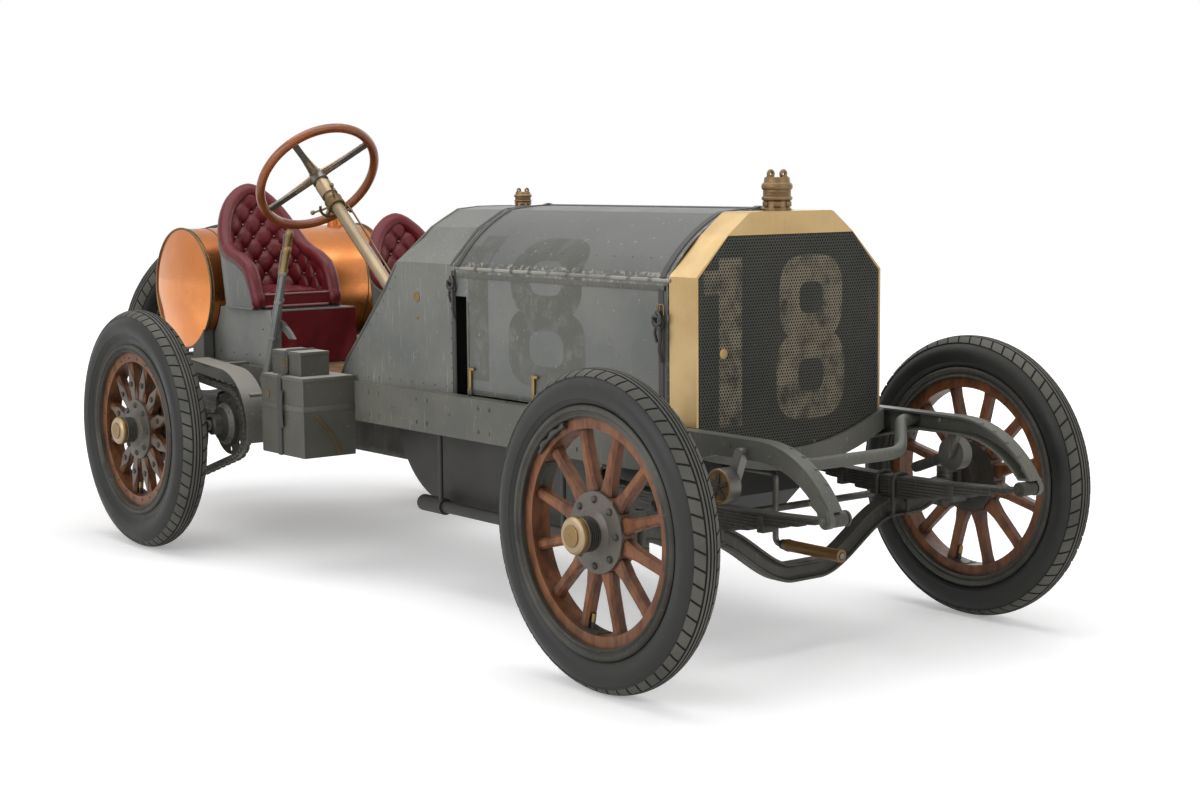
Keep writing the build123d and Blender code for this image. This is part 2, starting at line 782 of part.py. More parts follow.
# Cross members, the trough under the radiator and the tube between the horns
floor_under = rail_top - floor_thickness
member_half = rail_outer - rail_wall - seat_gap
with BuildPart() as cross_members:
    for distance in (1240, 1720, 2420, 2925):
        with BuildSketch(cross_plane(distance - 25)):
            with Locations((0, floor_under - 27)):
                Rectangle(2 * member_half, 54)
        extrude(amount=-50)
        with BuildSketch(cross_plane(distance - 25)):
            with Locations((0, floor_under - 27)):
                Rectangle(2 * member_half, 42)
        extrude(amount=-44, mode=Mode.SUBTRACT)
    trough_half = rail_outer - rail_flange - seat_gap
    with BuildSketch(cross_plane(radiator_front - 14)):
        with BuildLine():
            upper = ThreePointArc(
                (-trough_half, rail_top - 1), (0, rail_top - grille_dip - 1), (trough_half, rail_top - 1)
            )
            lower = ThreePointArc(
                (-trough_half, rail_top - 62), (0, rail_top - grille_dip - 62), (trough_half, rail_top - 62)
            )
            Line(upper @ 0, lower @ 0)
            Line(upper @ 1, lower @ 1)
        make_face()
    extrude(amount=-radiator_depth - 14)
    with BuildLine():
        horn_tube = FilletPolyline(
            (back(-60), member_half, horn_under + 27),
            (back(-60), 340, horn_under + 27),
            (back(-200), 190, horn_under - 38),
            (back(-200), -190, horn_under - 38),
            (back(-60), -340, horn_under + 27),
            (back(-60), -member_half, horn_under + 27),
            radius=[60, 110, 110, 60],
        )
    with BuildSketch(Plane(origin=horn_tube @ 0, z_dir=horn_tube % 0)):
        Circle(18)
    sweep(path=horn_tube)
    with BuildSketch(side_plane(member_half)):
        with Locations((back(tail_tube_x), rail_top - 34)):
            Circle(22)
    extrude(amount=2 * member_half)
finish("cross_members", cross_members.part)

# Engine, one plain block with four bearer arms, and the pan below it
pan_half = 300
pan_wall = 4
pan_top = rail_under - seat_gap
engine_front = 360
pan_flange_front = 520
pan_flange_back = 1600
engine_back = 1100
with BuildPart() as engine_block:
    with Locations((back((engine_front + engine_back) / 2), 0, 690)):
        Box(engine_back - engine_front, 380, 640)
    for distance in (440, 1010):
        with Locations((back(distance), 0, rail_top - 65)):
            Box(70, 2 * member_half, 44)
finish("engine_block", engine_block.part)

with BuildPart() as under_pan:
    for wall, mode in ((0, Mode.ADD), (pan_wall, Mode.SUBTRACT)):
        with BuildSketch(side_plane(pan_half - wall)):
            with BuildLine():
                rear_curve = ThreePointArc(
                    (back(1655 - wall), pan_top), (back(1563 - wall), 368 + wall), (back(1380), 283 + wall)
                )
                Polyline(
                    rear_curve @ 1,
                    (back(440), 288 + wall),
                    (back(320 + wall), 400),
                    (back(320 + wall), pan_top),
                    rear_curve @ 0,
                )
            make_face()
        extrude(amount=2 * (pan_half - wall), mode=mode)
    with BuildSketch(Plane.XY.offset(pan_top)):
        for y in (-(pan_half + 49), pan_half + 49):
            with Locations((back((pan_flange_front + pan_flange_back) / 2), y)):
                Rectangle(pan_flange_back - pan_flange_front, 100)
    extrude(amount=-3)
    with BuildSketch(cross_plane(300)):
        with Locations((0, 500)):
            Circle(16)
    extrude(amount=-40, mode=Mode.SUBTRACT)
finish("under_pan", under_pan.part)

# Starting crank below the radiator
crank_z = 500
handle_z = 296
with BuildPart() as starting_crank:
    with BuildLine():
        crank_path = FilletPolyline(
            (back(engine_front - seat_gap), 0, crank_z),
            (back(110), 0, crank_z),
            (back(110), 0, handle_z),
            (back(-160), 0, handle_z),
            radius=18,
        )
    with BuildSketch(Plane(origin=crank_path @ 0, z_dir=crank_path % 0)):
        Circle(9)
    sweep(path=crank_path)
    with BuildSketch(cross_plane(70)):
        with Locations((0, handle_z)):
            Circle(16)
    extrude(amount=225)
finish("starting_crank", starting_crank.part)

# Low pipe beside the pan with its hanger
pipe_y = -360
with BuildPart() as exhaust_pipe:
    with BuildSketch(cross_plane(600)):
        with Locations((pipe_y, 291)):
            Circle(19)
    extrude(amount=-700)
    with BuildSketch(cross_plane(1280)):
        with Locations((pipe_y, 291)):
            Circle(27)
    extrude(amount=-145)
    fillet(exhaust_pipe.faces().sort_by(Axis.X)[0].edges(), 20)
    for distance in (640, 1296):
        with BuildSketch(Plane.XY.offset(pan_top - 3 - seat_gap)):
            with Locations((back(distance), pipe_y - 8)):
                Circle(8)
        extrude(amount=-(pan_top - 3 - seat_gap - 291))
finish("exhaust_pipe", exhaust_pipe.part)

# Gearbox with its cross tube, and the sprocket on each end of its shaft
gearbox_length = 640
gearbox_ahead = 250
with BuildPart() as gearbox:
    with Locations((back(counter_x - gearbox_ahead), 0, counter_z)):
        Box(gearbox_length, 340, 2 * (floor_under - 54 - counter_z))
    fillet(gearbox.edges().filter_by(Axis.X), 30)
    fillet(gearbox.edges().filter_by(Axis.Z), 20)
    with BuildSketch(side_plane(chain_y - 40)):
        with Locations((back(counter_x), counter_z)):
            Circle(30)
    extrude(amount=2 * (chain_y - 40))
    with BuildSketch(side_plane(chain_y + 60)):
        with Locations((back(counter_x), counter_z)):
            Circle(16)
    extrude(amount=2 * (chain_y + 60))
finish("gearbox", gearbox.part)

window_ring = 93
window_radius = 13
window_count = 8
for side, sign in both_sides:
    axis = Axis((back(counter_x), 0, counter_z), (0, sign, 0))
    section = Plane(
        origin=(back(counter_x), sign * chain_y, counter_z), x_dir=(1, 0, 0), z_dir=(0, 0, sign)
    )
    with BuildPart() as chain_sprocket:
        with BuildSketch(section):
            with BuildLine():
                Polyline(
                    (16 + running_gap, -34),
                    (34, -34),
                    (34, -sprocket_half_width),
                    (counter_pitch_radius - chain_half_height - tooth_gap, -sprocket_half_width),
                    (counter_pitch_radius - chain_half_height - tooth_gap, sprocket_half_width),
                    (75, sprocket_half_width),
                    (75, 24),
                    (62, 40),
                    (36, 48),
                    (36, 78),
                    (30, 84),
                    (0, 84),
                    (0, 62),
                    (16 + running_gap, 62),
                    close=True,
                )
            make_face()
        revolve(axis=axis)
        web_start = (back(counter_x), sign * (chain_y - 2 * sprocket_half_width), counter_z)
        with BuildSketch(Plane(origin=web_start, x_dir=(1, 0, 0), z_dir=(0, sign, 0))):
            with PolarLocations(window_ring, window_count):
                Circle(window_radius)
        extrude(amount=4 * sprocket_half_width, mode=Mode.SUBTRACT)
    finish(f"chain_sprocket_{side}", chain_sprocket.part)

# Chains, a loop round each pair of sprockets: link plates outside, the rollers' band between
link_plate = 5
roller_reach = 6
link_pitch = 42
notch_radius = 9


def chain_loop(grow):
    """Outline of the loop this far outside the pitch line, as a face seen from the side."""
    with BuildSketch(side_plane(0)) as loop:
        with BuildLine():
            CenterArc((rear_x, rear_axle_z), rear_pitch_radius + grow, 0, 360)
            CenterArc((back(counter_x), counter_z), counter_pitch_radius + grow, 0, 360)
        make_hull()
    return loop.sketch


def notch_places():
    """Places round the loop where the outer edges of two links meet."""
    notch_reach = chain_half_height + notch_radius / 2
    edge = chain_loop(notch_reach).faces()[0].outer_wire()
    count = round(edge.length / link_pitch)
    return [edge @ (step / count) for step in range(count)]


notches = [(place.X, place.Z) for place in notch_places()]
with BuildPart() as chains:
    for start, width, reach in (
        (chain_half_width, link_plate, chain_half_height),
        (chain_half_width - link_plate, 2 * (chain_half_width - link_plate), roller_reach),
        (link_plate - chain_half_width, link_plate, chain_half_height),
    ):
        with BuildSketch(side_plane(chain_y + start)):
            add(chain_loop(reach))
            add(chain_loop(-chain_half_height), mode=Mode.SUBTRACT)
            if width == link_plate:
                with Locations(*notches):
                    Circle(notch_radius, mode=Mode.SUBTRACT)
        extrude(amount=width)
    mirror(about=Plane.XZ)
finish("chains", chains.part)

# Floor boards with a slot for the steering column, and the box under the seats
column_run = (column_z - rail_top) / sin(column_pitch) * cos(column_pitch)
column_foot = column_x - column_run
with BuildPart() as floor_boards:
    floor_front = hood_back + 4 + dash_thickness + seat_gap
    with BuildSketch(Plane.XY.offset(rail_top)):
        with Locations((back((floor_front + floor_back) / 2), 0)):
            Rectangle(floor_back - floor_front, 2 * floor_half_width)
        with Locations((back(column_foot - 14), -column_y)):
            Rectangle(116, 2 * column_radius + 8, mode=Mode.SUBTRACT)
    extrude(amount=-floor_thickness)
finish("floor_boards", floor_boards.part)

seats = (
    # name, side offset, distance of the front, underside, of each seat
    ("driver_seat", -225, 2450, 872),
    ("passenger_seat", 252, 2160, 753),
)
seat_depth = 316
seat_height = 464
seat_low_half = 182
seat_high_half = 200
seat_lean = 62
seat_shell = 4
pad_thickness = 38
cushion_height = 66
cushion_round = 22
cushion_gap = 3
with BuildPart() as seat_pedestal:
    for (name, y, front, under), depth in zip(seats, (480, 350)):
        half = pedestal_half_width / 2 - 2
        with Locations(
            (back(front + depth / 2 - 42), (half + 2) * y / abs(y), rail_top)
        ):
            Box(
                depth,
                2 * half,
                under - rail_top - seat_gap,
                align=(Align.CENTER, Align.CENTER, Align.MIN),
            )
    with BuildSketch(side_plane(tank_half_length)):
        with Locations((back(tank_x), tank_z)):
            Circle(tank_radius + 4)
    extrude(amount=2 * tank_half_length, mode=Mode.SUBTRACT)
finish("seat_pedestal", seat_pedestal.part)

# Height of the padded rim along each side of a seat, from the arm's end to the back
rim_heights = (
    # distance behind the seat's front, height above its underside
    (10, 50),
    (24, 128),
    (60, 175),
    (112, 200),
    (180, 216),
    (240, 236),
    (285, 274),
    (312, 325),
    (328, 390),
    (336, 464),
)
rim_cut_half = 500


def seat_outline(height, inset=0):
    """Half width and rear reach of a bucket this far above its underside."""
    share = height / seat_height
    half = seat_low_half + (seat_high_half - seat_low_half) * share - inset
    return half, seat_depth + seat_lean * share - inset


def bucket_section(front, height, inset, z, reach=0):
    """Outline of a bucket seat at one height: straight sides and a round back."""
    half, rear = seat_outline(height, inset)
    with BuildSketch(Plane.XY.offset(z)) as section:
        with BuildLine():
            rear_arc = ThreePointArc(
                (back(front + rear - half), -half), (back(front + rear), 0), (back(front + rear - half), half)
            )
            ahead = back(front - reach)
            Polyline(rear_arc @ 1, (ahead, half), (ahead, -half), rear_arc @ 0)
        make_face()
    return section.sketch


def bucket(front, under, inset, floor, reach=0):
    """A filled bucket this far inside the outer one, above a floor, open past its front."""
    with BuildPart() as body:
        add(bucket_section(front, 0, inset, under + floor, reach))
        add(bucket_section(front, seat_height, inset, under + seat_height, reach))
        loft(ruled=True)
    return body.part


def above_rim(front, under):
    """Everything above the line of a seat's rim."""
    with BuildPart() as above:
        with BuildSketch(side_plane(rim_cut_half)):
            with BuildLine():
                slope = [(back(front + distance), under + height) for distance, height in rim_heights]
                Polyline(
                    *slope,
                    (back(front + rim_cut_half), under + seat_height),
                    (back(front + rim_cut_half), under + 2 * seat_height),
                    (back(front - seat_lean), under + 2 * seat_height),
                    (back(front - seat_lean), under + rim_heights[0][1]),
                    close=True,
                )
            make_face()
        extrude(amount=2 * rim_cut_half)
    return above.part


for name, y, front, under in seats:
    place = Location((0, y, 0))
    inner = seat_shell + seat_gap
    above = above_rim(front, under)
    with BuildPart() as shell:
        add(bucket(front, under, 0, 0))
        add(bucket(front, under, seat_shell, seat_shell, reach=1), mode=Mode.SUBTRACT)
        add(above, mode=Mode.SUBTRACT)
    finish(f"{name}_shell", shell.part.moved(place))
    with BuildPart() as pad:
        add(bucket(front, under, inner, inner))
        add(bucket(front, under, seat_shell + pad_thickness, 0, reach=1), mode=Mode.SUBTRACT)
        add(above, mode=Mode.SUBTRACT)
    finish(f"{name}_pad", pad.part.moved(place))
    cushion_inset = seat_shell + pad_thickness + cushion_gap
    with BuildPart() as cushion:
        add(bucket_section(front, 0, cushion_inset, under + inner))
        extrude(amount=cushion_height)
        fillet(cushion.faces().sort_by(Axis.Z)[-1].edges(), cushion_round)
    finish(f"{name}_cushion", cushion.part.moved(place))

apron_thickness = 5
with BuildPart() as seat_apron:
    apron_x = seats[0][2] - 42 - seat_gap
    with Locations((back(apron_x - apron_thickness / 2), -182, rail_top + 3)):
        Box(
            apron_thickness,
            350,
            seats[0][3] - rail_top - 6,
            align=(Align.CENTER, Align.CENTER, Align.MIN),
        )
finish("seat_apron", seat_apron.part)

# Fuel tank with domed ends and rolled rims, on four saddles over the rails
tank_shell = tank_half_length - tank_dome
with BuildPart() as fuel_tank:
    with BuildSketch(Plane.XY.offset(tank_z)):
        with BuildLine():
            dome = ThreePointArc(
                (back(tank_x), tank_half_length),
                (back(tank_x - tank_radius / 2), tank_half_length - tank_dome / 4),
                (back(tank_x - tank_radius + 8), tank_shell),
            )
            Polyline(
                dome @ 1,
                (back(tank_x - tank_radius), tank_shell),
                (back(tank_x - tank_radius), 0),
                (back(tank_x), 0),
                dome @ 0,
            )
        make_face()
    revolve(axis=Axis((back(tank_x), 0, tank_z), (0, 1, 0)))
    mirror(about=Plane.XZ)
    with BuildSketch(Plane.XY.offset(tank_z + tank_radius - 4)):
        with Locations((back(tank_x), neck_y)):
            Circle(neck_radius)
    extrude(amount=neck_height + 4)
finish("fuel_tank", fuel_tank.part)

with BuildPart() as tank_saddles:
    saddle_y = rail_outer - rail_flange / 2
    for offset_x in (-130, 130):
        with BuildSketch(side_plane(saddle_y + saddle_width / 2)):
            with Locations((back(tank_x + offset_x), rail_top + 60)):
                Rectangle(90, 120)
            with Locations((back(tank_x), tank_z)):
                Circle(tank_radius + seat_gap, mode=Mode.SUBTRACT)
        extrude(amount=saddle_width)
    mirror(about=Plane.XZ)
finish("tank_saddles", tank_saddles.part)

# Spare tyre leaning against its carrier behind the tank
spare_tube = rear_wheel["tyre"] - rear_wheel["section"]
spare_x = tail_reach - spare_tube * sin(spare_lean) - rear_wheel["section"]
spare_plane = Plane(
    origin=(back(spare_x), 0, spare_z),
    x_dir=(sin(spare_lean), 0, cos(spare_lean)),
    z_dir=(cos(spare_lean), 0, -sin(spare_lean)),
)
with BuildPart() as spare_tyre:
    with BuildSketch(Plane(origin=spare_plane.origin, x_dir=spare_plane.x_dir, z_dir=(0, 1, 0))):
        with Locations((spare_tube, 0)):
            Circle(rear_wheel["section"])
        with Locations((spare_tube - rear_wheel["section"] * 0.85, 0)):
            Rectangle(rear_wheel["section"] * 0.5, 60)
        with Locations((spare_tube - rear_wheel["section"] * 1.1 - 40, 0)):
            Rectangle(80 + rear_wheel["section"] * 0.3, 200, mode=Mode.SUBTRACT)
    revolve(axis=Axis(spare_plane.origin, spare_plane.z_dir))
finish("spare_tyre", spare_tyre.part)

carrier_y = 200
carrier_offset = rear_wheel["section"] + seat_gap
with BuildPart() as spare_carrier:
    for y in (-carrier_y, carrier_y):
        with BuildSketch(spare_plane.offset(carrier_offset)):
            with Locations((-20, y)):
                Rectangle(740, 30)
        extrude(amount=8)
        with BuildSketch(side_plane(y + 15)):
            with BuildLine():
                reach = spare_plane.from_local_coords((-125, 0, carrier_offset + 4))
                Polyline(
                    (reach.X, reach.Z - 14),
                    (reach.X, reach.Z + 14),
                    (back(tail_tube_x + 22 + seat_gap), rail_top - 20),
                    (back(tail_tube_x + 22 + seat_gap), rail_top - 48),
                    close=True,
                )
            make_face()
        extrude(amount=30)
    with BuildSketch(spare_plane.offset(carrier_offset)):
        for u in (-360, 330):
            with Locations((u, 0)):
                Rectangle(30, 2 * carrier_y)
    extrude(amount=8)
finish("spare_carrier", spare_carrier.part)

# Tool boxes on the right rail
with BuildPart() as tool_boxes:
    for front, rear, inner_y, outer_y, low, high in (
        # distances behind the front axle, distances from the middle, heights
        (1750, 2030, 0, 199, 420, 690),
        (1812, 2000, 60, 170, 690, 772),
    ):
        with Locations(
            (
                back((front + rear) / 2),
                -(rail_outer + seat_gap + (inner_y + outer_y) / 2),
                (low + high) / 2,
            )
        ):
            Box(rear - front, outer_y - inner_y, high - low)
finish("tool_boxes", tool_boxes.part)

# Two hand levers with their bracket and ratchet arcs
with BuildPart() as levers:
    pivot_x, pivot_z = 2262, 640
    for lane, top_x, top_z in (
        # distance outside the rail, distance of the top behind the front axle, its height
        (38, 2096, 1167),
        (60, 2077, 1111),
    ):
        lever_plane = side_plane(-(rail_outer + lane - 4))
        tilt = atan2(top_z - pivot_z, pivot_x - top_x)
        length = sqrt((top_z - pivot_z) ** 2 + (pivot_x - top_x) ** 2)
        with BuildSketch(lever_plane):
            with Locations(Location((back(pivot_x), pivot_z, 0), (0, 0, degrees(tilt)))):
                Polygon((0, -17), (length - 90, -9), (length - 90, 9), (0, 17), align=None)
                Circle(20)
        extrude(amount=8)
        grip_base = (
            back(pivot_x) + (length - 92) * cos(tilt),
            -(rail_outer + lane),
            pivot_z + (length - 92) * sin(tilt),
        )
        with BuildSketch(Plane(origin=grip_base, z_dir=(cos(tilt), 0, sin(tilt)))):
            Circle(11)
        extrude(amount=92)
    with BuildSketch(side_plane(-(rail_outer + seat_gap))):
        with Locations((back(pivot_x), pivot_z - 20)):
            Rectangle(70, 90)
    extrude(amount=14)
    with BuildSketch(side_plane(-(rail_outer + seat_gap))):
        with Locations((back(pivot_x), pivot_z)):
            Circle(13)
    extrude(amount=76)
    with BuildSketch(side_plane(-(rail_outer + 14))):
        with Locations((back(pivot_x), pivot_z)):
            Circle(215)
            Circle(190, mode=Mode.SUBTRACT)
        with Locations((back(pivot_x - 70), pivot_z + 205)):
            Rectangle(190, 110, mode=Mode.INTERSECT)
    extrude(amount=12)
    with BuildSketch(side_plane(-(rail_outer + 14 - 14 + seat_gap))):
        with Locations((back(pivot_x - 10), pivot_z + 100)):
            Rectangle(22, 180)
    extrude(amount=14)
finish("levers", levers.part)

# Mud guards that curl round the front of the chains
guard_gap = 76
with BuildPart() as chain_guards:
    guard_radius = counter_pitch_radius + guard_gap
    with BuildSketch(side_plane(chain_y + 42)):
        with BuildLine():
            quarter = CenterArc((back(counter_x), counter_z), guard_radius, -15, 100)
            flat = Line(quarter @ 1, (back(2600), counter_z + guard_radius + 18))
            inner_quarter = CenterArc((back(counter_x), counter_z), guard_radius - 4, -15, 100)
            inner_flat = Line(inner_quarter @ 1, (back(2600), counter_z + guard_radius + 14))
            Line(quarter @ 0, inner_quarter @ 0)
            Line(flat @ 1, inner_flat @ 1)
        make_face()
    extrude(amount=84)
    stay_angle = radians(35)
    with BuildSketch(side_plane(chain_y + 10)):
        with Locations(
            (
                back(counter_x) + (guard_radius - 4) * cos(stay_angle),
                counter_z + (guard_radius - 4) * sin(stay_angle),
            )
        ):
            Circle(9)
    extrude(amount=chain_y + 10 - rail_outer - seat_gap)
    foot_low = rail_top + seat_gap
    for inner_y, outer_y, high in ((375, 542, foot_low + 8), (530, 542, counter_z + guard_radius + 15)):
        with Locations((back(2570), (inner_y + outer_y) / 2, (foot_low + high) / 2)):
            Box(36, outer_y - inner_y, high - foot_low)
    mirror(about=Plane.XZ)
finish("chain_guards", chain_guards.part)

# Friction dampers between the rails and the front axle
damper_x, damper_z = -170, 545
with BuildPart() as shock_absorbers:
    with BuildSketch(side_plane(rail_outer + 62)):
        with Locations((back(damper_x), damper_z)):
            Circle(48)
    extrude(amount=38)
    for x, z, outer, inner in (
        # distance behind the front axle and height of the far end, faces outside the rail
        (-205, 632, 25, seat_gap),
        (-20, 488, 50, 36),
    ):
        arm_length = sqrt((x - damper_x) ** 2 + (z - damper_z) ** 2)
        arm_angle = degrees(atan2(z - damper_z, damper_x - x))
        middle = ((back(damper_x) + back(x)) / 2, (damper_z + z) / 2, 0)
        with BuildSketch(side_plane(rail_outer + outer)):
            with Locations(Location(middle, (0, 0, arm_angle))):
                SlotCenterToCenter(arm_length, 30)
        extrude(amount=outer - inner)
    mirror(about=Plane.XZ)
finish("shock_absorbers", shock_absorbers.part)

# Steering column with its box, and the wheel on top
column_dir = (-cos(column_pitch), 0, sin(column_pitch))
hub_centre = (back(column_x), -column_y, column_z)


def along_column(distance):
    """Plane square to the column, this far below the middle of the steering wheel."""
    x = hub_centre[0] - column_dir[0] * distance
    z = hub_centre[2] - column_dir[2] * distance
    return Plane(origin=(x, -column_y, z), x_dir=(0, 1, 0), z_dir=column_dir)


column_length = 1150
with BuildPart() as steering_column:
    with BuildSketch(along_column(column_length)):
        Circle(column_radius)
    extrude(amount=column_length - 40)
    with BuildSketch(along_column(118)):
        Circle(30)
    extrude(amount=60)
    with BuildSketch(along_column(150)):
        with Locations((0, 46)):
            Rectangle(12, 70)
    extrude(amount=12)
    box_x = column_foot - 62
    with BuildSketch(side_plane(-column_y + 55)):
        with Locations((back(box_x), 596)):
            Circle(52)
    extrude(amount=110)
    with BuildSketch(side_plane(-column_y - 50)):
        with Locations((back(box_x), 600)):
            Rectangle(90, 70)
    extrude(amount=member_half - column_y - 50)
finish("steering_column", steering_column.part)

with BuildPart() as steering_spider:
    with BuildSketch(along_column(39)):
        Circle(30)
    extrude(amount=40)
    with BuildSketch(along_column(16)):
        for angle in (45, 135):
            with Locations(Location((0, 0, 0), (0, 0, angle))):
                Rectangle(2 * (steering_wheel_radius - 1.3 * steering_rim_radius), 24)
    extrude(amount=8)
finish("steering_spider", steering_spider.part)
with BuildPart() as steering_rim:
    rim_plane = Plane(origin=along_column(12).origin, x_dir=(0, 1, 0), z_dir=(-column_dir[2], 0, column_dir[0]))
    with BuildSketch(rim_plane):
        with Locations((steering_wheel_radius - steering_rim_radius, 0)):
            Circle(steering_rim_radius)
    revolve(axis=Axis(rim_plane.origin, column_dir))
    with BuildSketch(along_column(16)):
        for angle in (45, 135):
            with Locations(Location((0, 0, 0), (0, 0, angle))):
                Rectangle(2 * (steering_wheel_radius - 1.3 * steering_rim_radius) + 1, 25)
    extrude(amount=8, mode=Mode.SUBTRACT)
finish("steering_rim", steering_rim.part)

# Three pedals on a cross bar behind the dash
with BuildPart() as pedals:
    for y in (-150, -260, -320):
        with Locations((back(1380), y, rail_top + 75)):
            Box(10, 14, 150)
        with Locations((back(1386), y, rail_top + 150)):
            Box(8, 46, 60)
    with BuildSketch(side_plane(-130)):
        with Locations((back(1380), rail_top + 14)):
            Circle(12)
    extrude(amount=210)
finish("pedals", pedals.part)
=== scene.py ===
import json
from bisect import bisect
from math import cos, exp, pi, radians, sin, sqrt

import bpy
from mathutils import Matrix, Vector


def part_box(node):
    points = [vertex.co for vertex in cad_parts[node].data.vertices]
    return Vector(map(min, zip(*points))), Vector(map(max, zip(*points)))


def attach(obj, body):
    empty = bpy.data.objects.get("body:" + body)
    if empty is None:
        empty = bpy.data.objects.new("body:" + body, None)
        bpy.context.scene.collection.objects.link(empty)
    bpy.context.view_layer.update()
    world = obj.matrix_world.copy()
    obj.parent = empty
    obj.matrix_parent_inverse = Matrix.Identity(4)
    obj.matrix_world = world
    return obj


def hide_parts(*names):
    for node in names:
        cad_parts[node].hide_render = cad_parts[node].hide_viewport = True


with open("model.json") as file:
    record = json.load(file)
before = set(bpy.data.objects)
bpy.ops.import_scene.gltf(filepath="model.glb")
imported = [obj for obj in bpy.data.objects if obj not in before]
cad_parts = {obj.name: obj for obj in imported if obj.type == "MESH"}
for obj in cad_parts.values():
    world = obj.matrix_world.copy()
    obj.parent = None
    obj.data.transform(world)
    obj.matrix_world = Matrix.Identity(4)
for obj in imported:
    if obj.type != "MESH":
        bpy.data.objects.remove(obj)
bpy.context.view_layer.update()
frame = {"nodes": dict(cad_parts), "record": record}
nodes = frame["nodes"]
print("frame loaded:", len(nodes), "nodes")

# distances of the car, in metres
frontX = 1.555
rearX = -1.176
halfTrack = 0.725


def behind(distance):
    return frontX - distance  # X of a place this far behind the front axle


# camera, light and floor
cameraFit = dict(place=(5.5678, -3.9079, 1.3746), yaw=141.64, pitch=-6.63, roll=0.48, lens=59.43)
softboxes = [
    # place, aimed at, width, length, watts
    dict(name="overhead", place=(0.2, -0.2, 4.2), aim=(0.0, 0.0, 0.6), size=(6.0, 3.4), watts=150),
    dict(name="right", place=(1.0, -5.0, 2.6), aim=(0.2, 0.0, 0.6), size=(5.0, 2.6), watts=112),
    dict(name="front", place=(6.4, 0.6, 2.4), aim=(0.8, 0.0, 0.7), size=(3.0, 3.0), watts=60),
    dict(name="left", place=(-1.0, 5.2, 2.8), aim=(0.0, 0.0, 0.8), size=(5.0, 2.4), watts=50),
]
studio = dict(fill=0.30, floorTone=0.92, floorGlow=(0.29, 0.90), glowReach=(1.5, 6.0), floorSize=60.0)


def makeCamera(fit):
    yaw, pitch, roll = (radians(fit[k]) for k in ("yaw", "pitch", "roll"))
    ahead = Vector((cos(yaw) * cos(pitch), sin(yaw) * cos(pitch), sin(pitch)))
    right = Vector((sin(yaw), -cos(yaw), 0.0))
    down = -right.cross(ahead)
    tiltedRight = right * cos(roll) + down * sin(roll)
    tiltedDown = down * cos(roll) - right * sin(roll)
    data = bpy.data.cameras.new("photoCamera")
    data.lens = fit["lens"]
    data.sensor_width = 36
    data.clip_end = 200
    camera = bpy.data.objects.new("photoCamera", data)
    bpy.context.scene.collection.objects.link(camera)
    turn = Matrix((tiltedRight, -tiltedDown, -ahead)).transposed()
    camera.matrix_world = Matrix.Translation(fit["place"]) @ turn.to_4x4()
    bpy.context.scene.camera = camera


def makeSoftbox(box):
    data = bpy.data.lights.new("softbox_" + box["name"], "AREA")
    data.shape = "RECTANGLE"
    data.size, data.size_y = box["size"]
    data.energy = box["watts"]
    lamp = bpy.data.objects.new("softbox_" + box["name"], data)
    bpy.context.scene.collection.objects.link(lamp)
    lamp.location = box["place"]
    lamp.rotation_mode = "QUATERNION"
    lamp.rotation_quaternion = (Vector(box["aim"]) - Vector(box["place"])).to_track_quat("-Z", "Y")


def seenDirectly(tree):
    path = tree.nodes.new("ShaderNodeLightPath")
    first = tree.nodes.new("ShaderNodeMath")
    first.operation = "MAXIMUM"
    second = tree.nodes.new("ShaderNodeMath")
    second.operation = "MAXIMUM"
    tree.links.new(path.outputs["Is Camera Ray"], first.inputs[0])
    tree.links.new(path.outputs["Is Glossy Ray"], first.inputs[1])
    tree.links.new(first.outputs[0], second.inputs[0])
    tree.links.new(path.outputs["Is Transmission Ray"], second.inputs[1])
    return second.outputs[0]


def makeWorld():
    world = bpy.data.worlds.new("studioWorld")
    bpy.context.scene.world = world
    world.use_nodes = True
    tree = world.node_tree
    background = tree.nodes["Background"]
    strength = tree.nodes.new("ShaderNodeMapRange")
    strength.inputs["To Min"].default_value = studio["fill"]
    strength.inputs["To Max"].default_value = 1.0
    tree.links.new(seenDirectly(tree), strength.inputs["Value"])
    background.inputs["Color"].default_value = (1, 1, 1, 1)
    tree.links.new(strength.outputs["Result"], background.inputs["Strength"])


def makeFloor():
    bpy.ops.mesh.primitive_plane_add(size=studio["floorSize"], location=(0, 0, 0))
    floor = bpy.context.object
    floor.name = "studioFloor"
    mat = bpy.data.materials.new("floorPaper")
    mat.use_nodes = True
    tree = mat.node_tree
    shader = tree.nodes["Principled BSDF"]
    shader.inputs["Base Color"].default_value = (studio["floorTone"],) * 3 + (1,)
    shader.inputs["Roughness"].default_value = 0.9
    shader.inputs["Specular IOR Level"].default_value = 0.1
    place = tree.nodes.new("ShaderNodeTexCoord")
    length = tree.nodes.new("ShaderNodeVectorMath")
    length.operation = "LENGTH"
    tree.links.new(place.outputs["Object"], length.inputs[0])
    glow = tree.nodes.new("ShaderNodeMapRange")
    glow.interpolation_type = "SMOOTHSTEP"
    glow.inputs["From Min"].default_value, glow.inputs["From Max"].default_value = studio["glowReach"]
    glow.inputs["To Min"].default_value, glow.inputs["To Max"].default_value = studio["floorGlow"]
    tree.links.new(length.outputs["Value"], glow.inputs["Value"])
    shown = tree.nodes.new("ShaderNodeMath")
    shown.operation = "MULTIPLY"
    tree.links.new(glow.outputs["Result"], shown.inputs[0])
    tree.links.new(seenDirectly(tree), shown.inputs[1])
    shader.inputs["Emission Color"].default_value = (1, 1, 1, 1)
    tree.links.new(shown.outputs[0], shader.inputs["Emission Strength"])
    floor.data.materials.append(mat)


bpy.context.scene.view_settings.view_transform = "Standard"
makeCamera(cameraFit)
for box in softboxes:
    makeSoftbox(box)
makeWorld()
makeFloor()
print("studio ready")


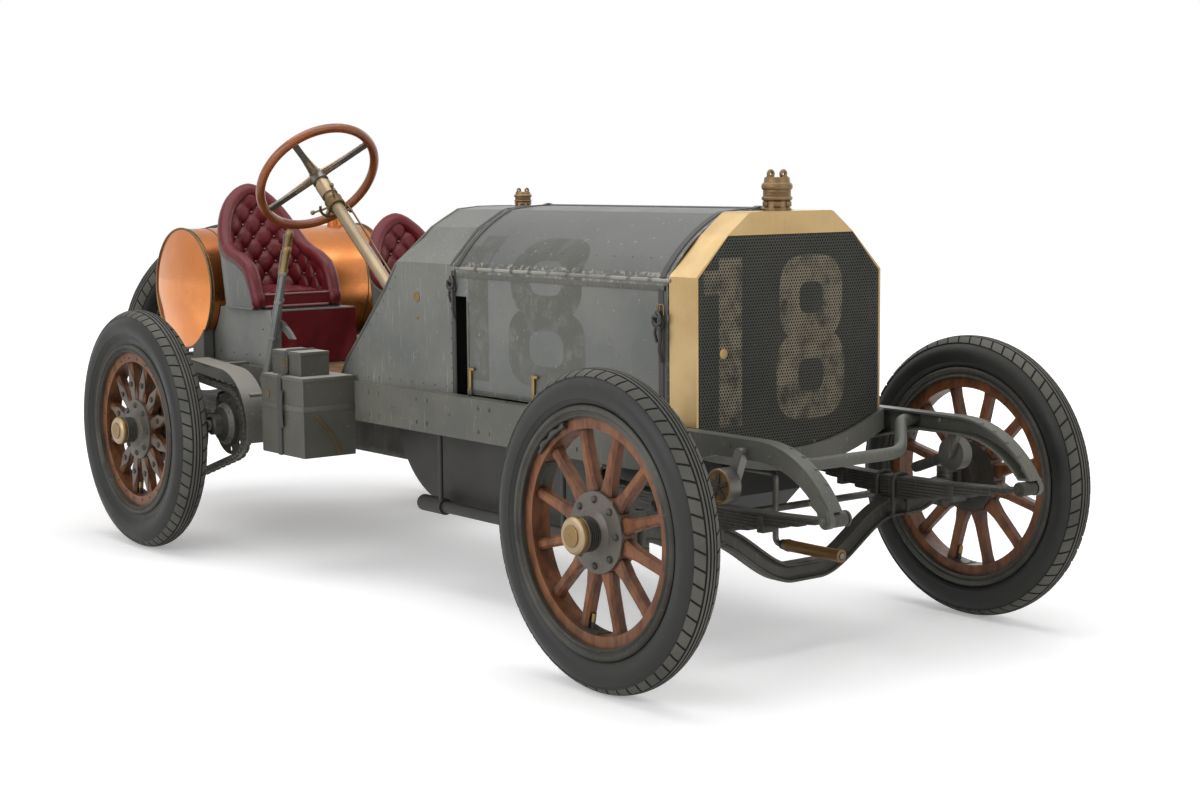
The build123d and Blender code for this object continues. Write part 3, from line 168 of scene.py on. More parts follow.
# shared masks: broad stains, fine grain, scratches and specks
def mathNode(tree, operation, first, second=None, clamp=False):
    node = tree.nodes.new("ShaderNodeMath")
    node.operation = operation
    node.use_clamp = clamp
    for place, value in enumerate((first, second)):
        if value is None:
            continue
        if isinstance(value, (int, float)):
            node.inputs[place].default_value = value
        else:
            tree.links.new(value, node.inputs[place])
    return node.outputs[0]


def times(tree, first, second):
    return mathNode(tree, "MULTIPLY", first, second)


def minus(tree, first, second):
    return mathNode(tree, "SUBTRACT", first, second)


def larger(tree, first, second):
    return mathNode(tree, "MAXIMUM", first, second)


def noiseNode(tree, vector, scale, detail=4.0, rough=0.55):
    node = tree.nodes.new("ShaderNodeTexNoise")
    node.inputs["Scale"].default_value = scale
    node.inputs["Detail"].default_value = detail
    node.inputs["Roughness"].default_value = rough
    tree.links.new(vector, node.inputs["Vector"])
    return node.outputs["Fac"]


def rampNode(tree, value, low, high):
    node = tree.nodes.new("ShaderNodeMapRange")
    node.interpolation_type = "SMOOTHSTEP"
    node.inputs["From Min"].default_value = low
    node.inputs["From Max"].default_value = high
    tree.links.new(value, node.inputs["Value"])
    return node.outputs["Result"]


def mixColour(tree, mask, first, second):
    node = tree.nodes.new("ShaderNodeMix")
    node.data_type = "RGBA"
    for name, value in (("A", first), ("B", second)):
        socket = next(s for s in node.inputs if s.name == name and s.type == "RGBA")
        if isinstance(value, tuple):
            socket.default_value = (*value, 1)
        else:
            tree.links.new(value, socket)
    factor = next(s for s in node.inputs if s.name == "Factor" and s.type == "VALUE")
    if isinstance(mask, (int, float)):
        factor.default_value = mask
    else:
        tree.links.new(mask, factor)
    return next(s for s in node.outputs if s.type == "RGBA")


def mixValue(tree, mask, first, second):
    node = tree.nodes.new("ShaderNodeMapRange")
    tree.links.new(mask, node.inputs["Value"])
    node.inputs["To Min"].default_value = first
    node.inputs["To Max"].default_value = second
    return node.outputs["Result"]


def objectPlace(tree):
    node = tree.nodes.new("ShaderNodeTexCoord")
    return node.outputs["Object"]


def stretched(tree, vector, scale):
    node = tree.nodes.new("ShaderNodeMapping")
    node.inputs["Scale"].default_value = scale
    tree.links.new(vector, node.inputs["Vector"])
    return node.outputs["Vector"]


def makeWearGroup():
    group = bpy.data.node_groups.new("wearMasks", "ShaderNodeTree")
    group.interface.new_socket("Vector", in_out="INPUT", socket_type="NodeSocketVector")
    for name in ("Stain", "Grain", "Scratch", "Speck"):
        group.interface.new_socket(name, in_out="OUTPUT", socket_type="NodeSocketFloat")
    start = group.nodes.new("NodeGroupInput")
    end = group.nodes.new("NodeGroupOutput")
    place = start.outputs["Vector"]
    masks = dict(
        Stain=rampNode(group, noiseNode(group, place, 3.2, 6.0, 0.6), 0.35, 0.68),
        Grain=noiseNode(group, place, 140.0, 3.0, 0.6),
        Scratch=rampNode(group, noiseNode(group, stretched(group, place, (60.0, 60.0, 4.0)), 2.0, 3.0), 0.60,
        0.72),
        Speck=rampNode(group, noiseNode(group, place, 55.0, 5.0, 0.7), 0.62, 0.70),
    )
    for name, value in masks.items():
        group.links.new(value, end.inputs[name])
    return group


wearMasks = makeWearGroup()


def newMaterial(name):
    mat = bpy.data.materials.new(name)
    mat.use_nodes = True
    return mat, mat.node_tree, mat.node_tree.nodes["Principled BSDF"]


def addWear(tree, vector=None):
    node = tree.nodes.new("ShaderNodeGroup")
    node.node_tree = wearMasks
    tree.links.new(vector or objectPlace(tree), node.inputs["Vector"])
    return node.outputs


def addBump(tree, shader, height, strength, distance):
    node = tree.nodes.new("ShaderNodeBump")
    node.inputs["Strength"].default_value = strength
    node.inputs["Distance"].default_value = distance
    tree.links.new(height, node.inputs["Height"])
    tree.links.new(node.outputs["Normal"], shader.inputs["Normal"])


# finishes of paint and metal
metalFinishes = {
    "grey_paint": dict(colour=(0.112, 0.118, 0.110), stain=(0.168, 0.170, 0.152), speck=(0.36, 0.34, 0.29),
    specks=0.85,
                       metallic=0.0, rough=(0.36, 0.56), bump=0.12, shine=0.3),
    "frame_paint": dict(colour=(0.078, 0.080, 0.070), stain=(0.122, 0.119, 0.100), speck=(0.27, 0.25, 0.20),
    specks=0.6,
                        metallic=0.0, rough=(0.40, 0.62), bump=0.15, shine=0.3),
    "steel": dict(colour=(0.17, 0.165, 0.150), stain=(0.075, 0.068, 0.056), speck=(0.40, 0.38, 0.33),
    specks=0.5,
                  metallic=0.7, rough=(0.36, 0.55), bump=0.15, shine=0.4),
    "iron": dict(colour=(0.068, 0.066, 0.057), stain=(0.040, 0.036, 0.030), speck=(0.19, 0.17, 0.14),
    specks=0.5,
                 metallic=0.35, rough=(0.46, 0.68), bump=0.25, shine=0.3),
    "brass": dict(colour=(0.47, 0.335, 0.165), stain=(0.38, 0.26, 0.118), speck=(0.26, 0.17, 0.08),
    specks=0.35,
                  metallic=0.9, rough=(0.36, 0.50), bump=0.04, shine=0.5),
    "copper": dict(colour=(0.66, 0.245, 0.085), stain=(0.50, 0.165, 0.050), speck=(0.30, 0.12, 0.055),
    specks=0.35,
                   metallic=1.0, rough=(0.16, 0.34), bump=0.04, shine=0.5),
    # grille: near-black, partly the grille's dark paint and partly painted shade on the recess floor seen
    # through the holes
    "grille": dict(colour=(0.014, 0.014, 0.012), stain=(0.022, 0.020, 0.017), speck=(0.05, 0.045, 0.04),
    specks=0.2,
                   metallic=0.2, rough=(0.55, 0.75), bump=0.1, shine=0.2),
}


def metalFinish(name, look):
    mat, tree, shader = newMaterial(name)
    wear = addWear(tree)
    base = mixColour(tree, wear["Stain"], look["colour"], look["stain"])
    patchy = mixValue(tree, wear["Stain"], 0.35, 1.0)
    speckMask = times(tree, times(tree, wear["Speck"], look["specks"]), patchy)
    scratchMask = times(tree, wear["Scratch"], look["specks"] * 0.5)
    worn = larger(tree, speckMask, scratchMask)
    tree.links.new(mixColour(tree, worn, base, look["speck"]), shader.inputs["Base Color"])
    tree.links.new(mixValue(tree, wear["Stain"], *look["rough"]), shader.inputs["Roughness"])
    shader.inputs["Metallic"].default_value = look["metallic"]
    shader.inputs["Specular IOR Level"].default_value = look["shine"]
    addBump(tree, shader, wear["Grain"], look["bump"], 0.001)
    return mat


# wood, rubber and leather
woodFinishes = {
    "wood_wheel": dict(light=(0.235, 0.086, 0.030), dark=(0.092, 0.029, 0.011), rough=0.42, coat=0.06,
    grain=26.0, grimeAndShade=0.95, bump=0.15),
    "wood_rim": dict(light=(0.25, 0.066, 0.012), dark=(0.165, 0.037, 0.007), rough=0.25, coat=0.45,
    grain=7.0, grimeAndShade=0.25, bump=0.03),
    "wood_floor": dict(light=(0.235, 0.130, 0.068), dark=(0.10, 0.055, 0.030), rough=0.62, coat=0.0,
    grain=20.0, grimeAndShade=0.6, bump=0.15),
}


def woodFinish(name, look):
    mat, tree, shader = newMaterial(name)
    place = objectPlace(tree)
    fibre = noiseNode(tree, stretched(tree, place, (1.0, 1.0, 0.35)), look["grain"], 6.0, 0.65)
    streak = rampNode(tree, fibre, 0.38, 0.66)
    wear = addWear(tree, place)
    colour = mixColour(tree, streak, look["light"], look["dark"])
    # painted shade: the ambient occlusion below darkens hollows and inner faces towards the near-black
    # colour; the stain mask adds real grime, and the wood's grime setting scales both
    hollow = tree.nodes.new("ShaderNodeAmbientOcclusion")
    hollow.samples = 4
    hollow.inputs["Distance"].default_value = 0.09
    shade = minus(tree, 1.0, rampNode(tree, hollow.outputs["AO"], 0.30, 1.0))
    grimeAndShade = times(tree, larger(tree, times(tree, wear["Stain"], 0.4), shade), look["grimeAndShade"])
    tree.links.new(mixColour(tree, grimeAndShade, colour, (0.022, 0.013, 0.009)), shader.inputs["Base Color"])
    shader.inputs["Specular IOR Level"].default_value = 0.3
    tree.links.new(mixValue(tree, wear["Stain"], look["rough"], look["rough"] + 0.16),
        shader.inputs["Roughness"])
    shader.inputs["Coat Weight"].default_value = look["coat"]
    shader.inputs["Coat Roughness"].default_value = 0.2
    addBump(tree, shader, fibre, look["bump"], 0.001)
    return mat


def rubberFinish(name):
    mat, tree, shader = newMaterial(name)
    wear = addWear(tree)
    dusty = times(tree, wear["Stain"], 0.5)
    colour = mixColour(tree, dusty, (0.014, 0.015, 0.0135), (0.034, 0.034, 0.030))
    tree.links.new(mixColour(tree, times(tree, wear["Speck"], 0.2), colour, (0.09, 0.086, 0.075)),
        shader.inputs["Base Color"])
    tree.links.new(mixValue(tree, wear["Stain"], 0.44, 0.62), shader.inputs["Roughness"])
    shader.inputs["Specular IOR Level"].default_value = 0.3
    addBump(tree, shader, wear["Grain"], 0.2, 0.001)
    return mat


def leatherFinish(name):
    mat, tree, shader = newMaterial(name)
    place = objectPlace(tree)
    wear = addWear(tree, place)
    creases = tree.nodes.new("ShaderNodeTexVoronoi")
    creases.feature = "DISTANCE_TO_EDGE"
    creases.inputs["Scale"].default_value = 320.0
    tree.links.new(place, creases.inputs["Vector"])
    grain = rampNode(tree, creases.outputs["Distance"], 0.0, 0.12)
    faded = times(tree, wear["Stain"], 0.55)
    colour = mixColour(tree, faded, (0.098, 0.0050, 0.0085), (0.148, 0.0155, 0.0200))
    tree.links.new(mixColour(tree, times(tree, wear["Speck"], 0.3), colour, (0.06, 0.012, 0.012)),
        shader.inputs["Base Color"])
    tree.links.new(mixValue(tree, wear["Stain"], 0.36, 0.50), shader.inputs["Roughness"])
    shader.inputs["Specular IOR Level"].default_value = 0.22
    shader.inputs["Coat Weight"].default_value = 0.16
    shader.inputs["Coat Roughness"].default_value = 0.16
    addBump(tree, shader, grain, 0.35, 0.0004)
    return mat


finishes = {name: metalFinish(name, look) for name, look in metalFinishes.items()}
finishes.update({name: woodFinish(name, look) for name, look in woodFinishes.items()})
finishes["tyre"] = rubberFinish("tyre")
finishes["leather"] = leatherFinish("leather")


def plainFinish(name, colour, rough, metallic=0.0):
    mat, tree, shader = newMaterial(name)
    wear = addWear(tree)
    darker = tuple(part * 0.6 for part in colour)
    tree.links.new(mixColour(tree, wear["Stain"], colour, darker), shader.inputs["Base Color"])
    shader.inputs["Roughness"].default_value = rough
    shader.inputs["Metallic"].default_value = metallic
    addBump(tree, shader, wear["Grain"], 0.1, 0.0006)
    return mat


# plain finishes: colour, roughness, and how metallic
plainFinishes = {
    "button": ((0.20, 0.14, 0.11), 0.28, 0.8),
    "piping": ((0.30, 0.14, 0.12), 0.45),
    # slot: near-black painted shade for the tyre grooves and the crank's socket
    "slot": ((0.010, 0.010, 0.009), 0.8),
    "strap": ((0.032, 0.029, 0.025), 0.55),
    "spokePlate": ((0.135, 0.100, 0.075), 0.5, 0.2),
    "brassDull": ((0.30, 0.195, 0.080), 0.42, 0.85),
    "panel": ((0.17, 0.175, 0.165), 0.42),
    "hinge": ((0.30, 0.29, 0.255), 0.45, 0.3),
    "darkMetal": ((0.030, 0.0285, 0.025), 0.55, 0.2),
    "crank": ((0.20, 0.105, 0.030), 0.48, 0.35),
    "cream": ((0.36, 0.272, 0.168), 0.36, 0.55),
    "olive": ((0.090, 0.087, 0.070), 0.5),
    "pedestal": ((0.235, 0.240, 0.222), 0.40),
    "sprocket": ((0.070, 0.064, 0.055), 0.45, 0.35),
    "bronze": ((0.205, 0.130, 0.062), 0.45, 0.7),
}
for name, look in plainFinishes.items():
    finishes[name] = plainFinish(name, *look)


def dress(piece, mat):
    if piece.material_slots:
        for slot in piece.material_slots:
            slot.material = mat
    else:
        piece.data.materials.append(mat)


for row in frame["record"]["subparts"]:
    dress(nodes[row["node"]], finishes[row["material_slot"]])

# making and placing pieces
def startClean():
    if bpy.context.object and bpy.context.object.mode != "OBJECT":
        bpy.ops.object.mode_set(mode="OBJECT")
    bpy.ops.object.select_all(action="DESELECT")


def pickOnly(piece):
    startClean()
    piece.select_set(True)
    bpy.context.view_layer.objects.active = piece


def nameLast(name):
    piece = bpy.context.object
    piece.name = name
    piece.data.name = name
    return piece


def joinAll(name, parts):
    startClean()
    for part in parts:
        part.select_set(True)
    bpy.context.view_layer.objects.active = parts[0]
    if len(parts) > 1:
        bpy.ops.object.join()
    bpy.ops.object.transform_apply(location=True, rotation=True, scale=True)
    return nameLast(name)


def applyModifier(piece, kind, **settings):
    pickOnly(piece)
    mod = piece.modifiers.new(kind.lower(), kind)
    for key, value in settings.items():
        setattr(mod, key, value)
    bpy.ops.object.modifier_apply(modifier=mod.name)


def smoothByAngle(piece, angle=35):
    pickOnly(piece)
    bpy.ops.object.shade_smooth_by_angle(angle=radians(angle))


def settle(piece, body, finish):
    mats = finish if isinstance(finish, list) else [finish]
    if not piece.data.materials:
        for mat in mats:
            piece.data.materials.append(mat)
    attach(piece, body)
    return piece


def outwards(piece, merge=0.00005):
    pickOnly(piece)
    bpy.ops.object.mode_set(mode="EDIT")
    bpy.ops.mesh.select_all(action="SELECT")
    bpy.ops.mesh.remove_doubles(threshold=merge)
    bpy.ops.mesh.normals_make_consistent(inside=False)
    bpy.ops.object.mode_set(mode="OBJECT")


def aimed(place, axis, turn=0.0):
    quat = Vector(axis).to_track_quat("Z", "Y")
    return Matrix.Translation(place) @ quat.to_matrix().to_4x4() @ Matrix.Rotation(turn, 4, "Z")


def makeMesh(name, spots, faces):
    mesh = bpy.data.meshes.new(name)
    mesh.from_pydata([tuple(spot) for spot in spots], [], faces)
    piece = bpy.data.objects.new(name, mesh)
    bpy.context.scene.collection.objects.link(piece)
    return piece


# tyres with a ribbed tread and shoulder blocks
tyreLook = dict(
    blocks=60, grooveDepth=0.0036, shoulderDrop=0.0018, skew=0.35,
    # places of the steps within one block, the first three round its slot
    steps=(0.0, 0.025, 0.125, 0.150, 0.43, 0.72),
    # angle round the section from the crown, and depth there in groove depths
    half=[(0, 0), (3, 0), (4, 1), (7, 1), (8, 0), (14, 0), (15, 1), (18.5, 1), (19.5, 0), (27, 0),
          (36, 0), (45, 0), (49, 0.1), (52, 0.6), (62, 0.3), (76, 0), (88, 0), (100, 0), (112, -0.3),
          (116, 0.3), (124, 0), (132, 0.4), (140, 0)],
    blockFrom=19.5, blockTo=49, treadTo=49, footAngle=140,
)
wheelPlaces = {
    # body, centre, sizes: tube radius, section radius, rim radius
    "front_right": ((frontX, -halfTrack, 0.432), 0.375, 0.057, 0.334),
    "front_left": ((frontX, halfTrack, 0.432), 0.375, 0.057, 0.334),
    "rear_right": ((rearX, -halfTrack, 0.439), 0.3765, 0.0625, 0.3115),
    "rear_left": ((rearX, halfTrack, 0.439), 0.3765, 0.0625, 0.3115),
}


def treadMaterial():
    mat, tree, shader = newMaterial("tyreTread")
    wear = addWear(tree)
    colour = mixColour(tree, wear["Stain"], (0.074, 0.073, 0.064), (0.118, 0.113, 0.098))
    tree.links.new(mixColour(tree, times(tree, wear["Speck"], 0.4), colour, (0.05, 0.05, 0.045)),
        shader.inputs["Base Color"])
    shader.inputs["Roughness"].default_value = 0.78
    shader.inputs["Specular IOR Level"].default_value = 0.25
    addBump(tree, shader, wear["Grain"], 0.3, 0.001)
    return mat


finishes["tread"] = treadMaterial()


def makeTyre(name, centre, axis, tube, section, rim, look):
    line = look["half"] + [(360 - angle, depth) for angle, depth in reversed(look["half"][1:])]
    perBlock = len(look["steps"])
    around = look["blocks"] * perBlock
    count = len(line)
    spots = []
    axis = Vector(axis).normalized()
    upright = (Vector((0, 0, 1)) - axis * axis.z).normalized()
    sideways = axis.cross(upright)
    foot = tube - rim - 0.0005
    for step, (angle, depth) in [(step, spot) for step in range(around) for spot in line]:
        fromCrown = min(angle, 360 - angle)
        inBlock = look["blockFrom"] <= fromCrown <= look["blockTo"]
        if inBlock and step % perBlock in (1, 2):
            depth = 1.3 if fromCrown < 47 else 1.0
        reach = section - depth * look["grooveDepth"]
        if fromCrown > look["treadTo"]:
            reach -= look["shoulderDrop"]
        lateral = reach * sin(radians(angle))
        radial = reach * cos(radians(angle))
        if fromCrown >= look["footAngle"]:
            lateral = section * sin(radians(look["footAngle"])) * (1 if angle < 180 else -1)
            radial = -foot
        radial = max(radial, -foot)
        block, part = divmod(step, perBlock)
        skewed = look["skew"] * max(0, min(fromCrown, look["blockTo"])
            - look["blockFrom"]) / (look["blockTo"] - look["blockFrom"])
        turn = 2 * pi * (block + look["steps"][part] + skewed * (1 if fromCrown <= look["treadTo"]
            else 0)) / look["blocks"]
        spoke = upright * cos(turn) + sideways * sin(turn)
        spots.append(Vector(centre) + spoke * (tube + radial) + axis * lateral)
    faces = []
    for step in range(around):
        for j in range(count):
            a, b = step * count + j, step * count + (j + 1) % count
            c, d = (step + 1) % around * count + (j + 1) % count, (step + 1) % around * count + j
            faces.append((a, b, c, d))
    piece = makeMesh(name, spots, faces)
    for finish in ("tyre", "tread", "slot"):
        piece.data.materials.append(finishes[finish])
    for face in piece.data.polygons:
        angles = [min(line[v % count][0], 360 - line[v % count][0]) for v in face.vertices]
        depths = [line[v % count][1] for v in face.vertices]
        parts = {v // count % perBlock for v in face.vertices}
        # faces in the grooves take the near-black slot finish: painted shade
        inSlot = min(angles) >= look["blockFrom"] and parts <= {0, 1, 2, 3} and max(angles) <= look["treadTo"]
        if inSlot or (max(angles) <= look["blockFrom"] and max(depths) > 0.5):
            face.material_index = 2  # slot
        elif max(angles) <= look["treadTo"]:
            face.material_index = 1
    outwards(piece)
    smoothByAngle(piece, 32)
    return piece


for place, (centre, tube, section, rim) in wheelPlaces.items():
    outward = -1 if "right" in place else 1
    tyre = makeTyre("tyreTreaded_" + place, centre, (0, outward, 0), tube, section, rim, tyreLook)
    settle(tyre, "wheel_" + place, finishes["tyre"])
    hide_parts("tyre_" + place)
spareLean = radians(17.8)
spareTube, spareSection = 0.3765, 0.0625
spareCentre = (behind(3.637 - spareTube * sin(spareLean) - spareSection), 0, 0.75)
spare = makeTyre("spareTyreTreaded", spareCentre, (cos(spareLean), 0, -sin(spareLean)), spareTube,
    spareSection, 0.3195, tyreLook)
settle(spare, "chassis", finishes["tyre"])
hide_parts("spare_tyre")
print("tyres ready")


# perforated grille sheet over the radiator core, cut to the shape of the frame
grilleSheet = dict(pitch=0.0098, hole=0.66, thickness=0.0010, front=0.0442, halfWidth=0.350, foot=0.668,
    dip=0.083,
                   knee=1.075, shoulder=0.240, top=1.189)


def numberMask(tree, across, up, place):
    square, edge = 3.2, 0.02  # how square the 8's rings are, how soft their edges

    def ring(cx, cz, wide, tall, thick):
        u = mathNode(tree, "DIVIDE", minus(tree, across, cx), wide)
        v = mathNode(tree, "DIVIDE", minus(tree, up, cz), tall)
        far = mathNode(tree, "POWER", mathNode(tree, "ADD", mathNode(tree, "POWER", mathNode(tree,
            "ABSOLUTE", u), square),
                                              mathNode(tree, "POWER", mathNode(tree, "ABSOLUTE", v),
                                              square)), 1 / square)
        outside = rampNode(tree, far, 1 + edge, 1 - edge)
        inside = rampNode(tree, far, 1 - thick - edge, 1 - thick + edge)
        return times(tree, outside, inside)

    def stroke(cx, cz, wide, tall):
        u = rampNode(tree, mathNode(tree, "ABSOLUTE", minus(tree, across, cx)), wide + 0.002, wide - 0.002)
        v = rampNode(tree, mathNode(tree, "ABSOLUTE", minus(tree, up, cz)), tall + 0.002, tall - 0.002)
        return times(tree, u, v)

    one = stroke(place["oneAt"], place["middle"], place["stroke"] / 2, place["tall"] / 2)
    flag = stroke(place["oneAt"] - place["side"] * place["stroke"] * 0.8, place["middle"] + place["tall"]
        * 0.36, place["stroke"] * 0.35, place["tall"] * 0.07)
    quarter = place["tall"] / 4
    high = ring(place["eightAt"], place["middle"] + quarter * 0.96, place["wide"] / 2 * 0.92, quarter * 1.04,
        place["stroke"] / place["wide"] * 2)
    low = ring(place["eightAt"], place["middle"] - quarter * 0.92, place["wide"] / 2, quarter * 1.08,
        place["stroke"] / place["wide"] * 2)
    first = larger(tree, one, flag)
    return larger(tree, first, larger(tree, high, low))


grilleNumber = dict(oneAt=-0.235, eightAt=0.075, middle=0.895, stroke=0.085, tall=0.470, wide=0.270, side=1)


def grilleMaterial():
    mat, tree, shader = newMaterial("grilleSheet")
    place = objectPlace(tree)
    wear = addWear(tree, place)
    split = tree.nodes.new("ShaderNodeSeparateXYZ")
    tree.links.new(place, split.inputs["Vector"])
    worn = rampNode(tree, noiseNode(tree, place, 14.0, 5.0, 0.7), 0.30, 0.62)
    digits = numberMask(tree, split.outputs["Y"], split.outputs["Z"], grilleNumber)
    painted = times(tree, times(tree, digits, worn), 0.85)
    base = mixColour(tree, wear["Stain"], (0.050, 0.052, 0.044), (0.078, 0.076, 0.062))
    chipped = mixColour(tree, times(tree, wear["Speck"], 0.5), base, (0.16, 0.14, 0.11))
    tree.links.new(mixColour(tree, painted, chipped, (0.34, 0.29, 0.205)), shader.inputs["Base Color"])
    shader.inputs["Roughness"].default_value = 0.6
    shader.inputs["Metallic"].default_value = 0.15
    return mat


def makeGrilleSheet(look):
    pitch = look["pitch"]
    row = pitch * sqrt(3) / 2
    side = pitch / sqrt(3)
    startClean()
    bpy.ops.mesh.primitive_circle_add(vertices=6, radius=side, fill_type="NGON")
    cell = nameLast("grilleSheet")
    bpy.ops.object.mode_set(mode="EDIT")
    bpy.ops.mesh.select_all(action="SELECT")
    bpy.ops.mesh.inset(thickness=side * (1 - look["hole"]) * 0.87)
    bpy.ops.mesh.delete(type="FACE")
    bpy.ops.object.mode_set(mode="OBJECT")
    cell.data.transform(Matrix.Rotation(pi / 6, 4, "Z"))  # flat sides left and right
    across = int(2 * look["halfWidth"] / pitch) + 3
    rows = int((look["top"] - look["foot"] + look["dip"]) / (2 * row)) + 2
    applyModifier(cell, "ARRAY", count=2, use_relative_offset=False, use_constant_offset=True,
        constant_offset_displace=(pitch / 2, row, 0))
    applyModifier(cell, "ARRAY", count=across, use_relative_offset=False, use_constant_offset=True,
        constant_offset_displace=(pitch, 0, 0))
    applyModifier(cell, "ARRAY", count=rows, use_relative_offset=False, use_constant_offset=True,
        constant_offset_displace=(0, 2 * row, 0))
    low = look["foot"] - look["dip"]
    stand = Matrix(((0, 0, 1, behind(look["front"])), (1, 0, 0, -look["halfWidth"] - pitch),
        (0, 1, 0, low - pitch), (0, 0, 0, 1)))
    cell.data.transform(stand)
    bpy.ops.object.mode_set(mode="EDIT")
    bpy.ops.mesh.select_all(action="SELECT")
    bpy.ops.mesh.remove_doubles(threshold=0.0001)
    x = behind(look["front"])
    slope = Vector((0, look["top"] - look["knee"], look["halfWidth"] - look["shoulder"])).normalized()
    cuts = [((x, look["halfWidth"], 0), (0, 1, 0)), ((x, -look["halfWidth"], 0), (0, -1, 0)),
        ((x, 0, look["top"]), (0, 0, 1)),
            ((x, look["halfWidth"], look["knee"]), slope), ((x, -look["halfWidth"], look["knee"]),
            (0, -slope.y, slope.z))]
    arcRadius = (look["halfWidth"] ** 2 + look["dip"] ** 2) / (2 * look["dip"])
    arcCentre = low + arcRadius
    for angle in (-22, -16, -10, -4, 4, 10, 16, 22):
        out = Vector((0, sin(radians(angle)), -cos(radians(angle))))
        cuts.append((Vector((x, 0, arcCentre)) + out * arcRadius, out))
    for spot, out in cuts:
        bpy.ops.mesh.select_all(action="SELECT")
        bpy.ops.mesh.bisect(plane_co=spot, plane_no=out, clear_outer=True)
    bpy.ops.object.mode_set(mode="OBJECT")
    applyModifier(cell, "SOLIDIFY", thickness=look["thickness"], offset=0)
    return cell


sheet = makeGrilleSheet(grilleSheet)
settle(sheet, "chassis", grilleMaterial())
print("grille sheet ready:", len(sheet.data.polygons), "faces")


# leaf springs, leaf by leaf, with their eyes
springLook = dict(leaves=7, leaf=0.009, gap=0.0006, sag=0.018, step=0.13, halfWidth=0.0245, eye=0.020,
    y=0.370)
springPlaces = [
    # name, distance behind the front axle, reach ahead, reach behind, height of the eyes
    ("front", -0.027, 0.478, 0.478, 0.490),
    ("rear", 2.731, 0.300, 0.480, 0.54443),
]


def makeLeaf(middle, ahead, reach, eyeHeight, order, side, look):
    share = 1 - look["step"] * order
    top = eyeHeight - look["sag"]
    startClean()
    bpy.ops.mesh.primitive_grid_add(x_subdivisions=20, y_subdivisions=1, size=1)
    leaf = bpy.context.object
    for vertex in leaf.data.vertices:
        t = vertex.co.x * 2 * share
        run = t * (ahead if t > 0 else reach)
        z = top + look["sag"] * t * t - order * look["leaf"] - look["leaf"] / 2
        taper = 1 - 0.35 * max(0, abs(t) / share - 0.93) / 0.07 if order else 1
        vertex.co = Vector((behind(middle) + run, side * look["y"] + vertex.co.y * 2 * look["halfWidth"]
            * taper, z))
    return leaf


springs = []
for name, middle, ahead, reach, eyeHeight in springPlaces:
    for side in (-1, 1):
        for order in range(springLook["leaves"]):
            springs.append(makeLeaf(middle, ahead, reach, eyeHeight, order, side, springLook))
leaves = joinAll("springLeaves", springs)
applyModifier(leaves, "SOLIDIFY", thickness=springLook["leaf"] - springLook["gap"], offset=0)
applyModifier(leaves, "BEVEL", width=0.0012, segments=1, limit_method="ANGLE")
eyes = []
for name, middle, ahead, reach, eyeHeight in springPlaces:
    for side in (-1, 1):
        for run in (ahead, -reach):
            bpy.ops.mesh.primitive_cylinder_add(vertices=28, radius=springLook["eye"],
                depth=2 * springLook["halfWidth"],
                                                location=(behind(middle) + run, side * springLook["y"],
                                                eyeHeight), rotation=(pi / 2, 0, 0))
            eyes.append(bpy.context.object)
eyePiece = joinAll("springEyes", eyes)
applyModifier(eyePiece, "BEVEL", width=0.002, segments=2, limit_method="ANGLE")
springPiece = joinAll("leafSprings", [leaves, eyePiece])
smoothByAngle(springPiece, 30)
settle(springPiece, "chassis", finishes["iron"])
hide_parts("springs")
print("springs ready")

# tubes and turned shapes
def tube(points, radii, around=12, closed=False):
    points = [Vector(point) for point in points]
    count = len(points)
    if isinstance(radii, (int, float)):
        radii = [radii] * count
    spots = []
    side = None
    for k, point in enumerate(points):
        before = points[k - 1] if k or closed else points[0]
        after = points[(k + 1) % count] if k < count - 1 or closed else points[-1]
        along = (after - before).normalized()
        if side is None:
            side = along.orthogonal().normalized()
        side = (side - along * side.dot(along)).normalized()
        other = along.cross(side)
        for step in range(around):
            turn = 2 * pi * step / around
            spots.append(point + (side * cos(turn) + other * sin(turn)) * radii[k])
    faces = []
    for k in range(count if closed else count - 1):
        for step in range(around):
            a, b = k * around + step, k * around + (step + 1) % around
            c, d = ((k + 1) % count) * around + (step + 1) % around, ((k + 1) % count) * around + step
            faces.append((a, b, c, d))
    if not closed:
        faces.append(tuple(range(around - 1, -1, -1)))
        faces.append(tuple((count - 1) * around + step for step in range(around)))
    return makeMesh("tube", spots, faces)


def domed(points, radius, steps):
    points = [Vector(point) for point in points]
    ends = []
    for end, inner in ((points[0], points[1]), (points[-1], points[-2])):
        out = (end - inner).normalized()
        ends.append([(end + out * radius * sin(pi / 2 * k / steps), radius * max(0.04,
            cos(pi / 2 * k / steps))) for k in range(1, steps + 1)])
    line = [spot for spot, size in reversed(ends[0])] + points + [spot for spot, size in ends[1]]
    sizes = [size for spot, size in reversed(ends[0])] + [radius] * len(points) + [size for spot,
        size in ends[1]]
    return line, sizes


def turned(profile, matrix, around=32, hollow=False):
    spots = []
    for reach, height in profile:
        for step in range(around):
            turn = 2 * pi * step / around
            spots.append(matrix @ Vector((reach * cos(turn), reach * sin(turn), height)))
    faces = []
    rows = len(profile)
    for k in range(rows if hollow else rows - 1):
        for step in range(around):
            nextStep, nextRow = (step + 1) % around, (k + 1) % rows
            faces.append((k * around + step, k * around + nextStep, nextRow * around + nextStep,
                nextRow * around + step))
    if not hollow:
        faces.append(tuple(range(around - 1, -1, -1)))
        faces.append(tuple((rows - 1) * around + step for step in range(around)))
    return makeMesh("turned", spots, faces)


def cleanPiece(name, parts, angle=35):
    piece = joinAll(name, parts)
    outwards(piece)
    smoothByAngle(piece, angle)
    return piece


